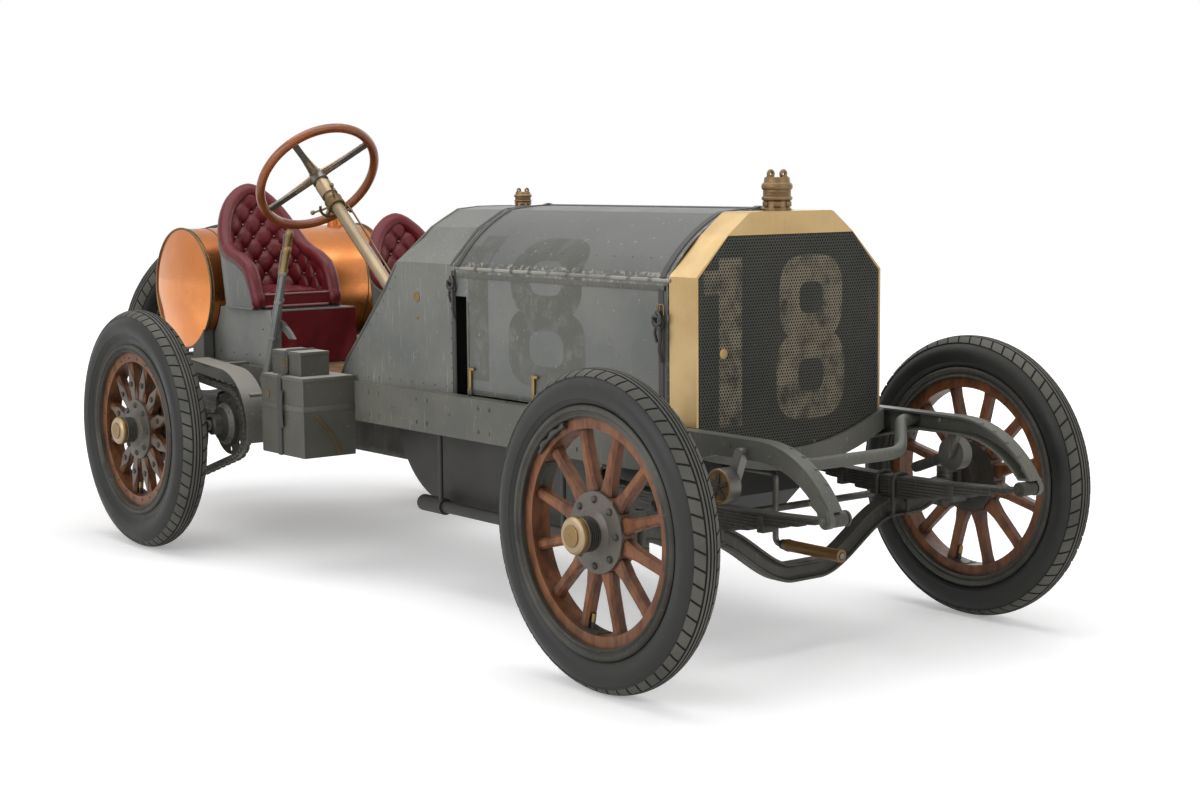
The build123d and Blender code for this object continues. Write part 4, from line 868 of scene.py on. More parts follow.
# seats: tufted leather with buttons inside, a padded roll along the rim
seatShape = dict(depth=0.316, height=0.464, lowHalf=0.182, highHalf=0.200, lean=0.062, wall=0.0043)
seatPlaces = {
    # side offset, distance of the front, underside
    "driver": (-0.225, 2.450, 0.872),
    "passenger": (0.252, 2.160, 0.753),
}
rimLine = [
    # run along the wall from the arm's end, height above the underside
    (0.000, 0.030), (0.008, 0.062), (0.022, 0.122), (0.052, 0.168), (0.105, 0.196), (0.165, 0.214),
        (0.212, 0.240),
    (0.252, 0.290), (0.288, 0.350), (0.325, 0.402), (0.365, 0.438), (0.410, 0.457), (0.470, 0.462),
]
rimInset = 0.023
rimSmoothings = 4
upholstery = dict(inset=0.034, puff=0.0125, dimple=0.0075, dimpleSize=0.0085, across=0.0375, up=0.047,
    columns=260, rows=88,
                  roll=0.0270, rollInset=0.0235, rollDrop=0.014, pleat=0.018, pleats=150,
                  buttonRadius=0.0055, square=2.7)


def backCurve(power, count=240):
    spots = []
    for k in range(count + 1):
        turn = pi * k / count
        side = cos(turn)
        spots.append((abs(sin(turn)) ** (2 / power), -(abs(side) ** (2 / power)) * (1 if side > 0 else -1)))
    runs = [0.0]
    for (x, y), (nextX, nextY) in zip(spots, spots[1:]):
        runs.append(runs[-1] + sqrt((nextX - x) ** 2 + (nextY - y) ** 2))
    return spots, runs


backSpots, backRuns = backCurve(upholstery["square"])


def backSpot(share):
    run = share * backRuns[-1]
    k = min(max(bisect(backRuns, run) - 1, 0), len(backSpots) - 2)
    part = (run - backRuns[k]) / (backRuns[k + 1] - backRuns[k])
    (x, y), (nextX, nextY) = backSpots[k], backSpots[k + 1]
    ahead = Vector((nextX - x, nextY - y)).normalized()
    return x + (nextX - x) * part, y + (nextY - y) * part, (-ahead.y, ahead.x)


def wallSpot(share, height, inset):
    lean = height / seatShape["height"]
    half = seatShape["lowHalf"] + (seatShape["highHalf"] - seatShape["lowHalf"]) * lean - inset
    rear = seatShape["depth"] + seatShape["lean"] * lean - inset
    straight = rear - half
    total = 2 * straight + backRuns[-1] * half
    run = share * total
    if run < straight:
        return run, -half, (0, 1)
    if run > total - straight:
        return total - run, half, (0, -1)
    x, y, inward = backSpot((run - straight) / (total - 2 * straight))
    return straight + half * x, half * y, inward


def wallLength(inset):
    half = seatShape["lowHalf"] - inset
    return 2 * (seatShape["depth"] - inset - half) + backRuns[-1] * half


def rimHeights(count):
    total = wallLength(rimInset)
    heights = []
    for k in range(count + 1):
        run = min(k, count - k) / count * total
        height = rimLine[-1][1]
        for (near, low), (far, high) in zip(rimLine, rimLine[1:]):
            if run <= far:
                height = low + (high - low) * (run - near) / (far - near)
                break
        heights.append(height)
    for again in range(rimSmoothings):
        heights = [sum(heights[max(0, k - 2):k + 3]) / len(heights[max(0, k - 2):k + 3])
            for k in range(count + 1)]
    return heights


def tuft(across, up):
    u, v = across / upholstery["across"], up / upholstery["up"]
    pillow = (abs(sin(pi * (u + v) / 2)) * abs(sin(pi * (u - v) / 2))) ** 0.42
    nearest = min(((u - i) * upholstery["across"]) ** 2 + ((v - j) * upholstery["up"]) ** 2
                  for i in (int(u // 1), int(u // 1) + 1) for j in (int(v // 1), int(v // 1) + 1)
                          if (i + j) % 2 == 0)
    return upholstery["puff"] * pillow - upholstery["dimple"] * exp(-nearest / (2
        * upholstery["dimpleSize"] ** 2))


def seatPoint(place, share, height, inset):
    y, front, under = place
    distance, across, inward = wallSpot(share, height, inset)
    return Vector((behind(front + distance), y + across, under + height)), Vector((-inward[0], inward[1],
        0)).normalized()


def makeSeatPad(name, place):
    look = upholstery
    columns, rows = look["columns"], look["rows"]
    heights = rimHeights(columns)
    low = seatShape["wall"]
    arc = wallLength(look["inset"])
    spots = []
    for k in range(columns + 1):
        share = k / columns
        top = heights[k]
        for j in range(rows + 1):
            height = low + (top - low) * j / rows
            fade = min(1, k / 6, (columns - k) / 6)
            depth = tuft((share - 0.5) * arc, height - 0.07) * fade
            spots.append(seatPoint(place, share, height, look["inset"] + depth)[0])
        for height in (top, low + (top - low) * 0.5, low):
            spots.append(seatPoint(place, share, height, seatShape["wall"])[0])
    ring = rows + 4
    faces = []
    for k in range(columns):
        for j in range(ring):
            a, b = k * ring + j, k * ring + (j + 1) % ring
            faces.append((a, b, b + ring, a + ring))
    faces.append(tuple(range(ring)))
    faces.append(tuple(columns * ring + j for j in reversed(range(ring))))
    body = makeMesh(name, spots, faces)
    line = []
    for k in range(columns + 1):
        line.append(seatPoint(place, k / columns, heights[k] - look["rollDrop"], look["rollInset"])[0])
    lead = Vector((-0.002, 0, 0))
    line = [line[0] + lead + Vector((0, 0, -0.012))] + line + [line[-1] + lead + Vector((0, 0, -0.012))]
    line, sizes = domed(line, look["roll"], 5)
    sizes = [size * (1 + look["pleat"] * sin(2 * pi * look["pleats"] * k / len(sizes)) * (0.5 + 0.5
        * sin(k * 1.7))) for k, size in enumerate(sizes)]
    roll = tube(line, sizes, 22)
    pad = joinAll(name, [body, roll])
    outwards(pad, 0.00002)
    smoothByAngle(pad, 60)
    buttons = []
    for i in range(-14, 15):
        for j in range(0, 10):
            if (i + j) % 2:
                continue
            share = i * look["across"] / arc + 0.5
            height = 0.07 + j * look["up"]
            if not 0.03 < share < 0.97 or height < 0.085:
                continue
            if heights[round(share * columns)] - height < 0.050:
                continue
            spot, inward = seatPoint(place, share, height, look["inset"] - look["dimple"] + 0.0055)
            size = look["buttonRadius"]
            profile = [(size, -0.003), (size, 0.001), (size * 0.75, 0.0035), (size * 0.3, 0.0048)]
            buttons.append(turned(profile, aimed(spot, inward), 10))
    knobs = cleanPiece(name + "Buttons", buttons, 50)
    return pad, knobs


shellLook = dict(columns=160, lip=0.006, wall=0.0038, beadDrop=0.030, bead=0.0028, foot=0.0045)


def makeShell(name, place):
    columns = shellLook["columns"]
    heights = rimHeights(columns)
    spots, faces = [], []
    for k in range(columns + 1):
        top = heights[k] - shellLook["lip"]
        for inset in (0.0, shellLook["wall"]):
            line = [0.0, top * 0.33, top * 0.66, top]
            for height in line if inset == 0 else reversed(line):
                spots.append(seatPoint(place, k / columns, height, inset)[0])
    for k in range(columns):
        for j in range(8):
            a, b = k * 8 + j, k * 8 + (j + 1) % 8
            faces.append((a, b, b + 8, a + 8))
    faces.append(tuple(range(8)))
    faces.append(tuple(columns * 8 + j for j in reversed(range(8))))
    wall = makeMesh(name, spots, faces)
    floorSpots = [seatPoint(place, k / columns, height, 0.002)[0] for height in (0.0005, 0.0040)
        for k in range(columns + 1)]
    count = columns + 1
    floorFaces = [tuple(range(count)), tuple(reversed(range(count, 2 * count)))]
    floorFaces += [(k, k + 1, count + k + 1, count + k) for k in range(columns)] + [(columns, 0, count,
        2 * count - 1)]
    plate = makeMesh(name, floorSpots, floorFaces)
    bead = tube([seatPoint(place, k / columns, heights[k] - shellLook["beadDrop"], -0.0010)[0]
        for k in range(4, columns - 3)], shellLook["bead"], 8)
    foot = tube([seatPoint(place, k / columns, 0.006, -0.0012)[0] for k in range(columns + 1)],
        shellLook["foot"], 8)
    return cleanPiece(name, [wall, plate, bead, foot], 40)


for person, place in seatPlaces.items():
    shell = makeShell(person + "Bucket", place)
    settle(shell, "chassis", finishes["grey_paint"])
    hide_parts(person + "_seat_shell")
    pad, knobs = makeSeatPad(person + "Upholstery", place)
    settle(pad, "chassis", finishes["leather"])
    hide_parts(person + "_seat_pad")
    settle(knobs, "chassis", finishes["button"])
print("seat upholstery ready")


# seat cushions: a crowned top with tufts, pale piping above and below the front band
cushionLook = dict(inset=0.0455, low=0.0050, height=0.068, crown=0.016, edge=0.020, columns=72, rings=16,
    piping=0.0042, across=0.075)


def cushionSpot(place, share, inset, height):
    y, front, under = place
    half = seatShape["lowHalf"] - inset
    rear = seatShape["depth"] - inset
    lead = 0.004
    straight = rear - half
    width = 2 * half
    total = width + 2 * (straight + lead) + pi * half
    run = (share * total) % total
    if run < half:
        spot = (-lead, -run)
    elif run < half + straight + lead:
        spot = (run - half - lead, -half)
    elif run < half + straight + lead + pi * half:
        turn = (run - half - straight - lead) / half
        spot = (straight + half * sin(turn), -half * cos(turn))
    elif run < total - half:
        spot = (total - half - run - lead, half)
    else:
        spot = (-lead, total - run)
    return Vector((behind(front + spot[0]), y + spot[1], under + height))


def makeCushion(name, place):
    look = cushionLook
    columns, rings = look["columns"], look["rings"]
    middle = Vector((behind(place[1] + 0.150), place[0], 0))
    spots = []
    layers = [(0.004, look["low"]), (0.0, look["low"] + 0.004), (-0.0015, look["low"] + 0.5 * look["height"]
        - 0.008),
              (0.0, look["height"] - look["edge"])]
    for k in range(1, 5):
        turn = pi / 2 * k / 4
        layers.append((look["edge"] * (1 - cos(turn)), look["height"] - look["edge"] + look["edge"]
            * sin(turn) * 0.9))
    for extra, height in layers:
        for k in range(columns):
            spots.append(cushionSpot(place, k / columns, look["inset"] + extra, height))
    base = len(layers)
    for ring in range(1, rings):
        part = ring / rings
        for k in range(columns):
            rim = cushionSpot(place, k / columns, look["inset"] + look["edge"], 0)
            spot = rim.lerp(Vector((middle.x, middle.y, rim.z)), part)
            crown = look["crown"] * (1 - (1 - part) ** 2.2)
            puff = tuft(spot.y - place[0], spot.x - middle.x) * 0.55
            spot.z = place[2] + look["height"] + crown - 0.006 + puff * min(1, part * 4)
            spots.append(spot)
    spots.append(Vector((middle.x, middle.y, place[2] + look["height"] + look["crown"] - 0.006)))
    faces = [tuple(range(columns - 1, -1, -1))]
    for level in range(base + rings - 2):
        for k in range(columns):
            a, b = level * columns + k, level * columns + (k + 1) % columns
            faces.append((a, b, b + columns, a + columns))
    last = (base + rings - 2) * columns
    for k in range(columns):
        faces.append((last + k, last + (k + 1) % columns, len(spots) - 1))
    body = makeMesh(name, spots, faces)
    outwards(body, 0.00001)
    smoothByAngle(body, 60)
    pipes = []
    for height, out in ((look["height"] - look["edge"] * 0.55, 0.0015), (look["low"] + 0.008, -0.0015)):
        line = [cushionSpot(place, k / 96, look["inset"] - out, height) for k in range(96)]
        pipes.append(tube(line, look["piping"], 8, True))
    piping = cleanPiece(name + "Piping", pipes, 60)
    return body, piping


for person, place in seatPlaces.items():
    cushion, piping = makeCushion(person + "Cushion", place)
    settle(cushion, "chassis", finishes["leather"])
    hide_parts(person + "_seat_cushion")
    settle(piping, "chassis", finishes["piping"])
print("cushions ready")


# leather apron that hangs under the driver's seat, in soft folds
apronLook = dict(width=0.350, thickness=0.0022, folds=[(0.0050, 23.0, 0.4), (0.0030, 51.0, 2.1),
    (0.0014, 97.0, 0.9)], steps=120, rows=24)


def foldDepth(across, drop):
    deep = sum(size * sin(rate * across + phase + 3.0 * drop * (k + 1) ** 0.5) for k, (size, rate,
        phase) in enumerate(apronLook["folds"]))
    return deep * (0.25 + 0.75 * min(1, drop * 1.3))


def makeApron():
    low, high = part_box("seat_apron")
    y = (low[1] + high[1]) / 2
    x = (low[0] + high[0]) / 2
    height = high[2] - low[2]
    spots = []
    for j in range(apronLook["rows"] + 1):
        drop = j / apronLook["rows"]
        for k in range(apronLook["steps"] + 1):
            across = (k / apronLook["steps"] - 0.5) * apronLook["width"]
            spots.append((x + 0.012 + foldDepth(across, drop), y + across, high[2] - 0.0005
                - (height - 0.002) * drop))
    line = apronLook["steps"] + 1
    faces = []
    for j in range(apronLook["rows"]):
        for k in range(apronLook["steps"]):
            a = j * line + k
            faces.append((a, a + 1, a + 1 + line, a + line))
    piece = makeMesh("seatApronHung", spots, faces)
    outwards(piece)
    area = sum(face.area for face in piece.data.polygons)
    applyModifier(piece, "SOLIDIFY", thickness=apronLook["thickness"], offset=0)
    smoothByAngle(piece, 60)
    return piece, (area / (height - 0.002), height - 0.002)


apron, apronFlat = makeApron()
settle(apron, "chassis", finishes["leather"])
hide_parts("seat_apron")
print("apron flat size:", [round(size, 3) for size in apronFlat])

# rivets, bolts and straps that land on the CAD surfaces
def landed(node, start, way):
    target = nodes[node]
    back = target.matrix_world.inverted()
    found, spot, normal = target.ray_cast(back @ Vector(start),
        (back.to_3x3() @ Vector(way)).normalized())[:3]
    if not found:
        return None
    return target.matrix_world @ spot, (target.matrix_world.to_3x3() @ normal).normalized()


rivetDome = [(1.0, -0.30), (1.0, 0.0), (0.86, 0.34), (0.55, 0.58), (0.15, 0.68)]
hexHead = [(1.0, -0.3), (1.0, 0.62), (0.90, 0.72), (0.10, 0.74)]
washer = [(1.45, -0.3), (1.45, 0.10), (1.30, 0.16), (0.9, 0.16)]


def scaled(profile, size):
    return [(reach * size, height * size) for reach, height in profile]


def rivets(node, spots, way, size):
    made = []
    for spot in spots:
        hit = landed(node, spot, way)
        if hit:
            made.append(turned(scaled(rivetDome, size), aimed(*hit), 10))
    return made


def bolt(place, axis, size, turn=0.0):
    matrix = aimed(place, axis, turn)
    return [turned(scaled(washer, size), matrix, 16), turned(scaled(hexHead, size), matrix, 6)]


def bolts(node, spots, way, size):
    made = []
    for k, spot in enumerate(spots):
        hit = landed(node, spot, way)
        if hit:
            made += bolt(*hit, size, k * 0.7)
    return made


def between(start, end, count):
    start, end = Vector(start), Vector(end)
    return [start.lerp(end, k / (count - 1)) for k in range(count)]


def ribbon(points, ways, width, thickness):
    points = [Vector(point) for point in points]
    spots = []
    for k, point in enumerate(points):
        before, after = points[max(0, k - 1)], points[min(len(points) - 1, k + 1)]
        along = (after - before).normalized()
        out = Vector(ways[k])
        out = (out - along * out.dot(along)).normalized()
        side = along.cross(out)
        for a, b in ((-0.5, 0), (-0.42, 1), (0.42, 1), (0.5, 0), (0.42, -0.3), (-0.42, -0.3)):
            spots.append(point + side * width * a + out * thickness * b)
    faces = [(5, 4, 3, 2, 1, 0)]
    for k in range(len(points) - 1):
        for j in range(6):
            a, b = k * 6 + j, k * 6 + (j + 1) % 6
            faces.append((a, b, b + 6, a + 6))
    last = (len(points) - 1) * 6
    faces.append(tuple(last + j for j in range(6)))
    return makeMesh("ribbon", spots, faces)


def bar(centre, size, bevel=0.001, turn=None):
    startClean()
    bpy.ops.mesh.primitive_cube_add(size=1)
    piece = bpy.context.object
    piece.data.transform(Matrix.Diagonal((*size, 1)))
    applyModifier(piece, "BEVEL", width=min(bevel, min(size) * 0.4), segments=2, limit_method="ANGLE")
    piece.data.transform(Matrix.Translation(centre) @ (turn or Matrix.Identity(4)))
    return piece


def buckle(centre, out, up, wide, tall):
    out, up = Vector(out).normalized(), Vector(up).normalized()
    side = up.cross(out)
    corners = [side * wide / 2 * a + up * tall / 2 * b for a, b in ((-1, -1), (1, -1), (1, 1), (-1, 1))]
    loop = [Vector(centre) + corners[k].lerp(corners[(k + 1) % 4], t) for k in range(4) for t in (0.08, 0.5,
        0.92)]
    prong = tube([Vector(centre) + up * tall * 0.5, Vector(centre) + out * 0.002, Vector(centre) - up * tall
        * 0.5], 0.0011, 6)
    return [tube(loop, 0.0016, 8, True), prong]


both = (("right", -1), ("left", 1))
signs = (-1, 1)  # right, left


# body: rivet rows, the rolled edge of the cowl, edge strips and straps of the hood
def cowlSide(distance, height):
    along = (distance - 1.210) / 0.650
    return 0.360 + along * (0.040 - 0.030 * (height - 0.668) / 0.412)


cowlEdge = [(1.858, 0.668), (1.820, 0.740), (1.750, 0.820), (1.680, 0.902), (1.606, 0.987), (1.549, 1.065)]


def makeBodyTrim():
    dark, pale = [], []
    for sign in signs:
        way = (0, -sign, 0)
        y = sign * 0.6
        dark += rivets("cowl", [(behind(1.232), y, z) for z in (0.70 + 0.048 * k for k in range(8))], way,
            0.0034)
        dark += rivets("cowl", [(behind(d), y, 0.688) for d in (1.26 + 0.062 * k for k in range(9))], way,
            0.0034)
        edge = [(behind(d - 0.020 - 0.012 * k / 5), y, z) for k, (d, z) in enumerate(cowlEdge)]
        dark += rivets("cowl", [spot for a, b in zip(edge, edge[1:]) for spot in between(a, b, 3)[:2]], way,
            0.0030)
        dark += bolts("frame_rails", [(behind(d), y, 0.640) for d in (0.35, 0.52, 0.96, 1.02, 1.31, 1.37,
            1.60, 1.66)], way, 0.0058)
        dark += bolts("frame_rails", [(behind(d), y, 0.566) for d in (0.35, 0.52, 0.96, 1.02, 1.31, 1.37,
            1.60, 1.66)], way, 0.0058)
        dark += rivets("frame_rails", [(behind(d), y, 0.606) for d in (0.72, 1.18, 1.50, 2.05, 2.15, 2.60,
            2.86, 3.05)], way, 0.0055)
        dark += bolts("frame_rails", [(behind(d), sign * 0.388, 0.9) for d in (0.30, 0.50, 0.70, 0.90,
            1.10)], (0, 0, -1), 0.0050)
        dark += rivets("frame_rails", [(behind(-d), sign * 0.372, 0.9) for d in (0.34, 0.385, 0.43, 0.47)],
            (0, 0, -1), 0.0062)
        dark += rivets("frame_rails", [(behind(-d), y, z) for d, z in ((0.30, 0.63), (0.40, 0.57),
            (0.45, 0.535))], way, 0.0060)
        dark += rivets("seat_pedestal", [(behind(d), y, z) for d, z in ((2.47, 0.80), (2.50, 0.705),
            (2.60, 0.70), (2.70, 0.70), (2.80, 0.70))], way, 0.0038)
        dark += rivets("hood_top", [(behind(0.20 + 0.0825 * k), sign * 0.320, 1.4) for k in range(13)],
            (0, 0, -1), 0.0028)
        dark += bolts("radiator_core", [(behind(-0.2), sign * t, 0.628 - 0.045 * (1 - t / 0.35) ** 0.7)
            for t in (0.09, 0.18, 0.27)], (-1, 0, 0), 0.0045)
        edgeLine = [Vector((behind(d), sign * (cowlSide(d, z) - 0.001), z)) for d, z in cowlEdge]
        top = [Vector((behind(1.493), sign * 0.288, 1.160)), Vector((behind(1.489), sign * 0.256, 1.189)),
               Vector((behind(1.488), sign * 0.205, 1.218)), Vector((behind(1.488), sign * 0.152, 1.2455)),
               Vector((behind(1.488), sign * 0.071, 1.2525)), Vector((behind(1.488), 0, 1.2530))]
        dark.append(tube(edgeLine + top, 0.0055, 10))
        for d, z, size in ((1.421, 0.967, 0.0165), (1.418, 0.902, 0.006)):
            hit = landed("cowl", (behind(d), y, z), way)
            if hit:
                profile = [(size, -0.002), (size, 0.002), (size * 0.82, 0.003), (size * 0.78, 0.0022),
                    (size * 0.1, 0.0026)]
                pale.append(turned(profile, aimed(*hit), 24))
    return cleanPiece("bodyRivets", dark), cleanPiece("bodyBosses", pale)


trimDark, trimPale = makeBodyTrim()
settle(trimDark, "chassis", finishes["frame_paint"])
settle(trimPale, "chassis", finishes["brassDull"])


def knot(place, sign, size=1.0, tails=True):
    centre = Vector(place)
    out = Vector((0, sign, 0))

    def at(x, lift, z):
        return centre + Vector((x, 0, z)) * size + out * lift * size

    loops = []
    for lean, wide, tall, lift in ((0.3, 0.011, 0.021, 0.007), (-0.5, 0.013, 0.016, 0.011), (1.2, 0.009,
            0.014, 0.013)):
        ring = []
        for k in range(20):
            turn = 2 * pi * k / 20
            x, z = wide * cos(turn), tall * sin(turn)
            ring.append(at(x * cos(lean) - z * sin(lean), lift + 0.002 * sin(2 * turn), x * sin(lean) + z
                * cos(lean)))
        loops.append(tube(ring, 0.0036 * size, 8, True))
    if not tails:
        return loops
    loops.append(tube([at(0.006, 0.010, -0.010), at(0.011, 0.012, -0.040), at(0.004, 0.008, -0.070),
        at(0.007, 0.005, -0.098)], 0.0042 * size, 8))
    loops.append(tube([at(-0.006, 0.009, -0.008), at(-0.010, 0.010, -0.030), at(-0.006, 0.007, -0.052)],
        0.0038 * size, 8))
    return loops


def overTop(node, distance, count, lift, reach=68):
    points, ways = [], []
    for k in range(count):
        turn = radians(-reach + 2 * reach * k / (count - 1))
        out = Vector((0, sin(turn), cos(turn)))
        hit = landed(node, Vector((behind(distance), 0, 0.93)) + out * 0.7, -out)
        if hit and hit[1].dot(out) > 0.2:
            points.append(hit[0] + hit[1] * lift)
            ways.append(hit[1])
    return points, ways


def makeHoodStraps():
    straps = []
    for distance, width in ((0.186, 0.026), (1.188, 0.020)):
        points, ways = overTop("hood_top", distance, 41, 0.0012)
        straps.append(ribbon(points, ways, width, 0.0022))
    points, ways = overTop("cowl", 1.224, 41, 0.0008)
    straps.append(ribbon(points, ways, 0.016, 0.0018))
    for sign in signs:
        line = [(behind(1.2130), sign * 0.3616, z) for z in (1.060, 0.96, 0.86, 0.76, 0.66)]
        straps.append(ribbon(line, [(0, sign, 0)] * 5, 0.022, 0.0030))
        straps += knot((behind(1.2110), sign * 0.3620, 1.018), sign, 1.15)
        straps += knot((behind(1.2150), sign * 0.3900, 0.642), sign, 0.8, False)
    return cleanPiece("hoodStraps", straps, 30)


hoodStraps = makeHoodStraps()
settle(hoodStraps, "chassis", finishes["strap"])


def makeHoodSideTrim(side, sign):
    y = sign * 0.3606
    dark, pale = [], []
    for distance in (0.172, 1.138):
        dark.append(bar((behind(distance), y, 0.868 if distance < 1 else 0.82), (0.012, 0.0022, 0.385
            if distance < 1 else 0.285)))
    dark.append(bar((behind(0.655), y, 0.682), (0.965, 0.0022, 0.014)))
    dark.append(bar((behind(0.684), y, 1.046), (1.030, 0.0022, 0.016)))
    for k in range(13):
        dark.append(turned(scaled(rivetDome, 0.0028), aimed((behind(0.20 + 0.0803 * k), sign * 0.3617,
            1.046), (0, sign, 0)), 8))
    hinge = []
    for k in range(11):
        centre = Vector((behind(0.19 + 0.0945 * k), sign * 0.358, 1.068))
        hinge.append(tube([centre - Vector((0.038, 0, 0)), centre + Vector((0.038, 0, 0))], 0.0062, 12))
    line = [(behind(0.190), sign * 0.3615, z) for z in (1.040, 0.95, 0.86, 0.77, 0.700)]
    strap = ribbon(line, [(0, sign, 0)] * 5, 0.024, 0.0026)
    rings = buckle((behind(0.190), sign * 0.3665, 0.985), (0, sign, 0), (0, 0, 1), 0.030, 0.034)
    strapParts = [strap] + knot((behind(0.190), sign * 0.3640, 0.958), sign, 1.2)
    for distance in (0.788, 1.123):
        x = behind(distance)
        pale.append(bar((x, sign * 0.3650, 0.716), (0.013, 0.006, 0.074), 0.0015))
        pale.append(bar((x + 0.010, sign * 0.3665, 0.7535), (0.030, 0.009, 0.0085), 0.0015))
        dark.append(bar((x, sign * 0.3655, 0.680), (0.022, 0.009, 0.018), 0.0015))
        pale += bolt((x, sign * 0.3670, 0.692), (0, sign, 0), 0.0045)
    darkPiece = cleanPiece(f"hoodSideTrim_{side}", dark)
    strapPiece = cleanPiece(f"hoodSideStrap_{side}", strapParts, 30)
    settle(cleanPiece(f"hoodHinge_{side}", hinge), f"hood_side_{side}", finishes["hinge"])
    palePiece = cleanPiece(f"hoodLatches_{side}", pale + rings)
    body = f"hood_side_{side}"
    settle(darkPiece, body, finishes["frame_paint"])
    settle(strapPiece, body, finishes["strap"])
    settle(palePiece, body, finishes["brassDull"])


for side, sign in both:
    makeHoodSideTrim(side, sign)
print("body trim ready")


# wheels: ridges, bolt heads, rim beads and a valve; spoke plates behind, felloe plates in front
def makeWheelTrim(name, centre, sizes):
    outward = -1 if "right" in name else 1
    middle = Vector(centre)
    axis = Vector((0, outward, 0))
    base = aimed(middle, axis)
    spokeX, spokeZ = Vector((1, 0, 0)), Vector((0, 0, 1))

    def around(radius, angle, lift):
        return middle + (spokeX * cos(angle) + spokeZ * sin(angle)) * radius + axis * lift

    dark, pale, plates = [], [], []
    for k in range(5):
        low = 0.0465 + 0.0066 * k
        ridge = [(0.041, low), (0.0468, low + 0.0004), (0.0475, low + 0.0020), (0.0468, low + 0.0036),
            (0.041, low + 0.004)]
        dark.append(turned(ridge, base, 36))
    for k in range(8):
        spot = around(0.088, 2 * pi * k / 8, 0.0265)
        dark.append(turned([(0.0105, -0.001), (0.0105, 0.003), (0.0088, 0.0075), (0.0050, 0.0102),
            (0.001, 0.0110)], aimed(spot, axis), 14))
    if "rear" in name:
        for k in range(12):
            angle = radians(15 + 30 * k)
            spot = around(0.168, angle, 0.0178)
            dark += bolt(spot, axis, 0.0105, k * 0.8)
            along, flank = (spokeX * cos(angle) + spokeZ * sin(angle)), (spokeZ * cos(angle) - spokeX
                * sin(angle))
            hub = middle + axis * 0.0172
            kite = [(0.106, 0.014), (0.140, 0.0165), (0.160, 0.0215), (0.176, 0.0215), (0.200, 0.0135),
                (0.238, 0.0012)]
            shape = [(reach, half) for reach, half in kite] + [(reach, -half) for reach,
                half in reversed(kite)]
            spots = [hub + along * reach + flank * half for reach, half in shape]
            spots += [hub + axis * 0.0030 + along * (reach - 0.0012) + flank * half * 0.9 for reach,
                half in shape]
            size = len(shape)
            faces = [tuple(range(size)), tuple(reversed(range(size, 2 * size)))]
            faces += [(j, (j + 1) % size, size + (j + 1) % size, size + j) for j in range(size)]
            plates.append(makeMesh("kite", spots, faces))
        for k in range(24):
            spot = around(0.262, radians(15 * k + 7.5), 0.0298)
            dark.append(turned(scaled(rivetDome, 0.0042), aimed(spot, axis), 8))
    front = "front" in name
    inner, edge = (0.305, 0.029) if front else (0.285, 0.0265)
    bead = [(0.02, 0.0405), (0.05, 0.0440), (0.13, 0.0462), (0.24, 0.0452), (0.32, 0.0428), (0.42, 0.0420),
        (0.50, 0.0430), (0.56, 0.0462),
            (0.66, 0.0486), (0.84, 0.0490), (1.00, 0.0474), (1.12, 0.0430), (1.10, 0.0400)]
    for way in (1, -1):
        lip = aimed(middle, axis * way)
        dark.append(turned([(inner + edge * share, lift) for share, lift in bead], lip, 96, True))
    if front:
        for angle in (-98, 152):
            arc = [around(0.2732, radians(angle + 2.0 * k), 0) for k in range(-4, 5)]
            ways = [(middle - spot).normalized() for spot in arc]
            dark.append(ribbon(arc, ways, 0.052, 0.0016))
            for k in (-3, 3):
                dark.append(turned(scaled(rivetDome, 0.0045), aimed(around(0.2722, radians(angle + 2.0 * k),
                    0.012), ways[4]), 8))
        clamp = [around(0.296, radians(112 + 2.6 * k), 0.0335 + 0.004 * (1 if k % 4 < 2 else 0))
            for k in range(12)]
        dark.append(tube(clamp, [0.0085 if k % 4 < 2 else 0.0062 for k in range(12)], 10))
    felloe = sizes[2] - 0.030
    valveAngle = radians(-100)
    low, high = around(felloe - 0.006, valveAngle, 0), around(felloe - 0.075, valveAngle, 0)
    dark.append(tube([low, low.lerp(high, 0.7)], 0.0052, 10))
    pale.append(tube([low.lerp(high, 0.66), high], 0.0064, 10))
    cap = [(0.0492, 0.083), (0.0505, 0.085), (0.0505, 0.097), (0.0492, 0.099)]
    pale.append(turned([(0.045, 0.083)] + cap + [(0.045, 0.099)], base, 48))
    pale.append(turned([(0.030, 0.1055), (0.0300, 0.1085), (0.0285, 0.1098), (0.0060, 0.1098),
        (0.0045, 0.1085), (0.0005, 0.1085)], base, 36))
    body = "wheel_" + name
    if plates:
        settle(cleanPiece("spokePlates_" + name, plates), body, finishes["spokePlate"])
    settle(cleanPiece("hubTrim_" + name, dark), body, finishes["iron"])
    settle(cleanPiece("hubCapTrim_" + name, pale), body, finishes["brassDull"])


for name, (centre, tubeRadius, section, rim) in wheelPlaces.items():
    makeWheelTrim(name, centre, (tubeRadius, section, rim))
print("wheel trim ready")

# finishes that change over a node: the painted number, hubs from cap to rim, and some single parts
def splitPlace(tree):
    split = tree.nodes.new("ShaderNodeSeparateXYZ")
    tree.links.new(objectPlace(tree), split.inputs["Vector"])
    return split.outputs


hoodNumbers = {
    "right": dict(oneAt=0.475, eightAt=0.827, middle=0.945, stroke=0.108, tall=0.450, wide=0.385, side=1),
    "left": dict(oneAt=1.265, eightAt=0.913, middle=0.945, stroke=0.108, tall=0.450, wide=0.385, side=-1),
}


def chippedEdges(tree, axes, bounds):
    shown = None
    for axis, place, width in bounds:
        away = mathNode(tree, "ABSOLUTE", minus(tree, axes[axis], place))
        near = rampNode(tree, away, width, width * 0.3)
        shown = near if shown is None else larger(tree, shown, near)
    broken = rampNode(tree, noiseNode(tree, objectPlace(tree), 42.0, 6.0, 0.75), 0.50, 0.60)
    return times(tree, shown, broken)


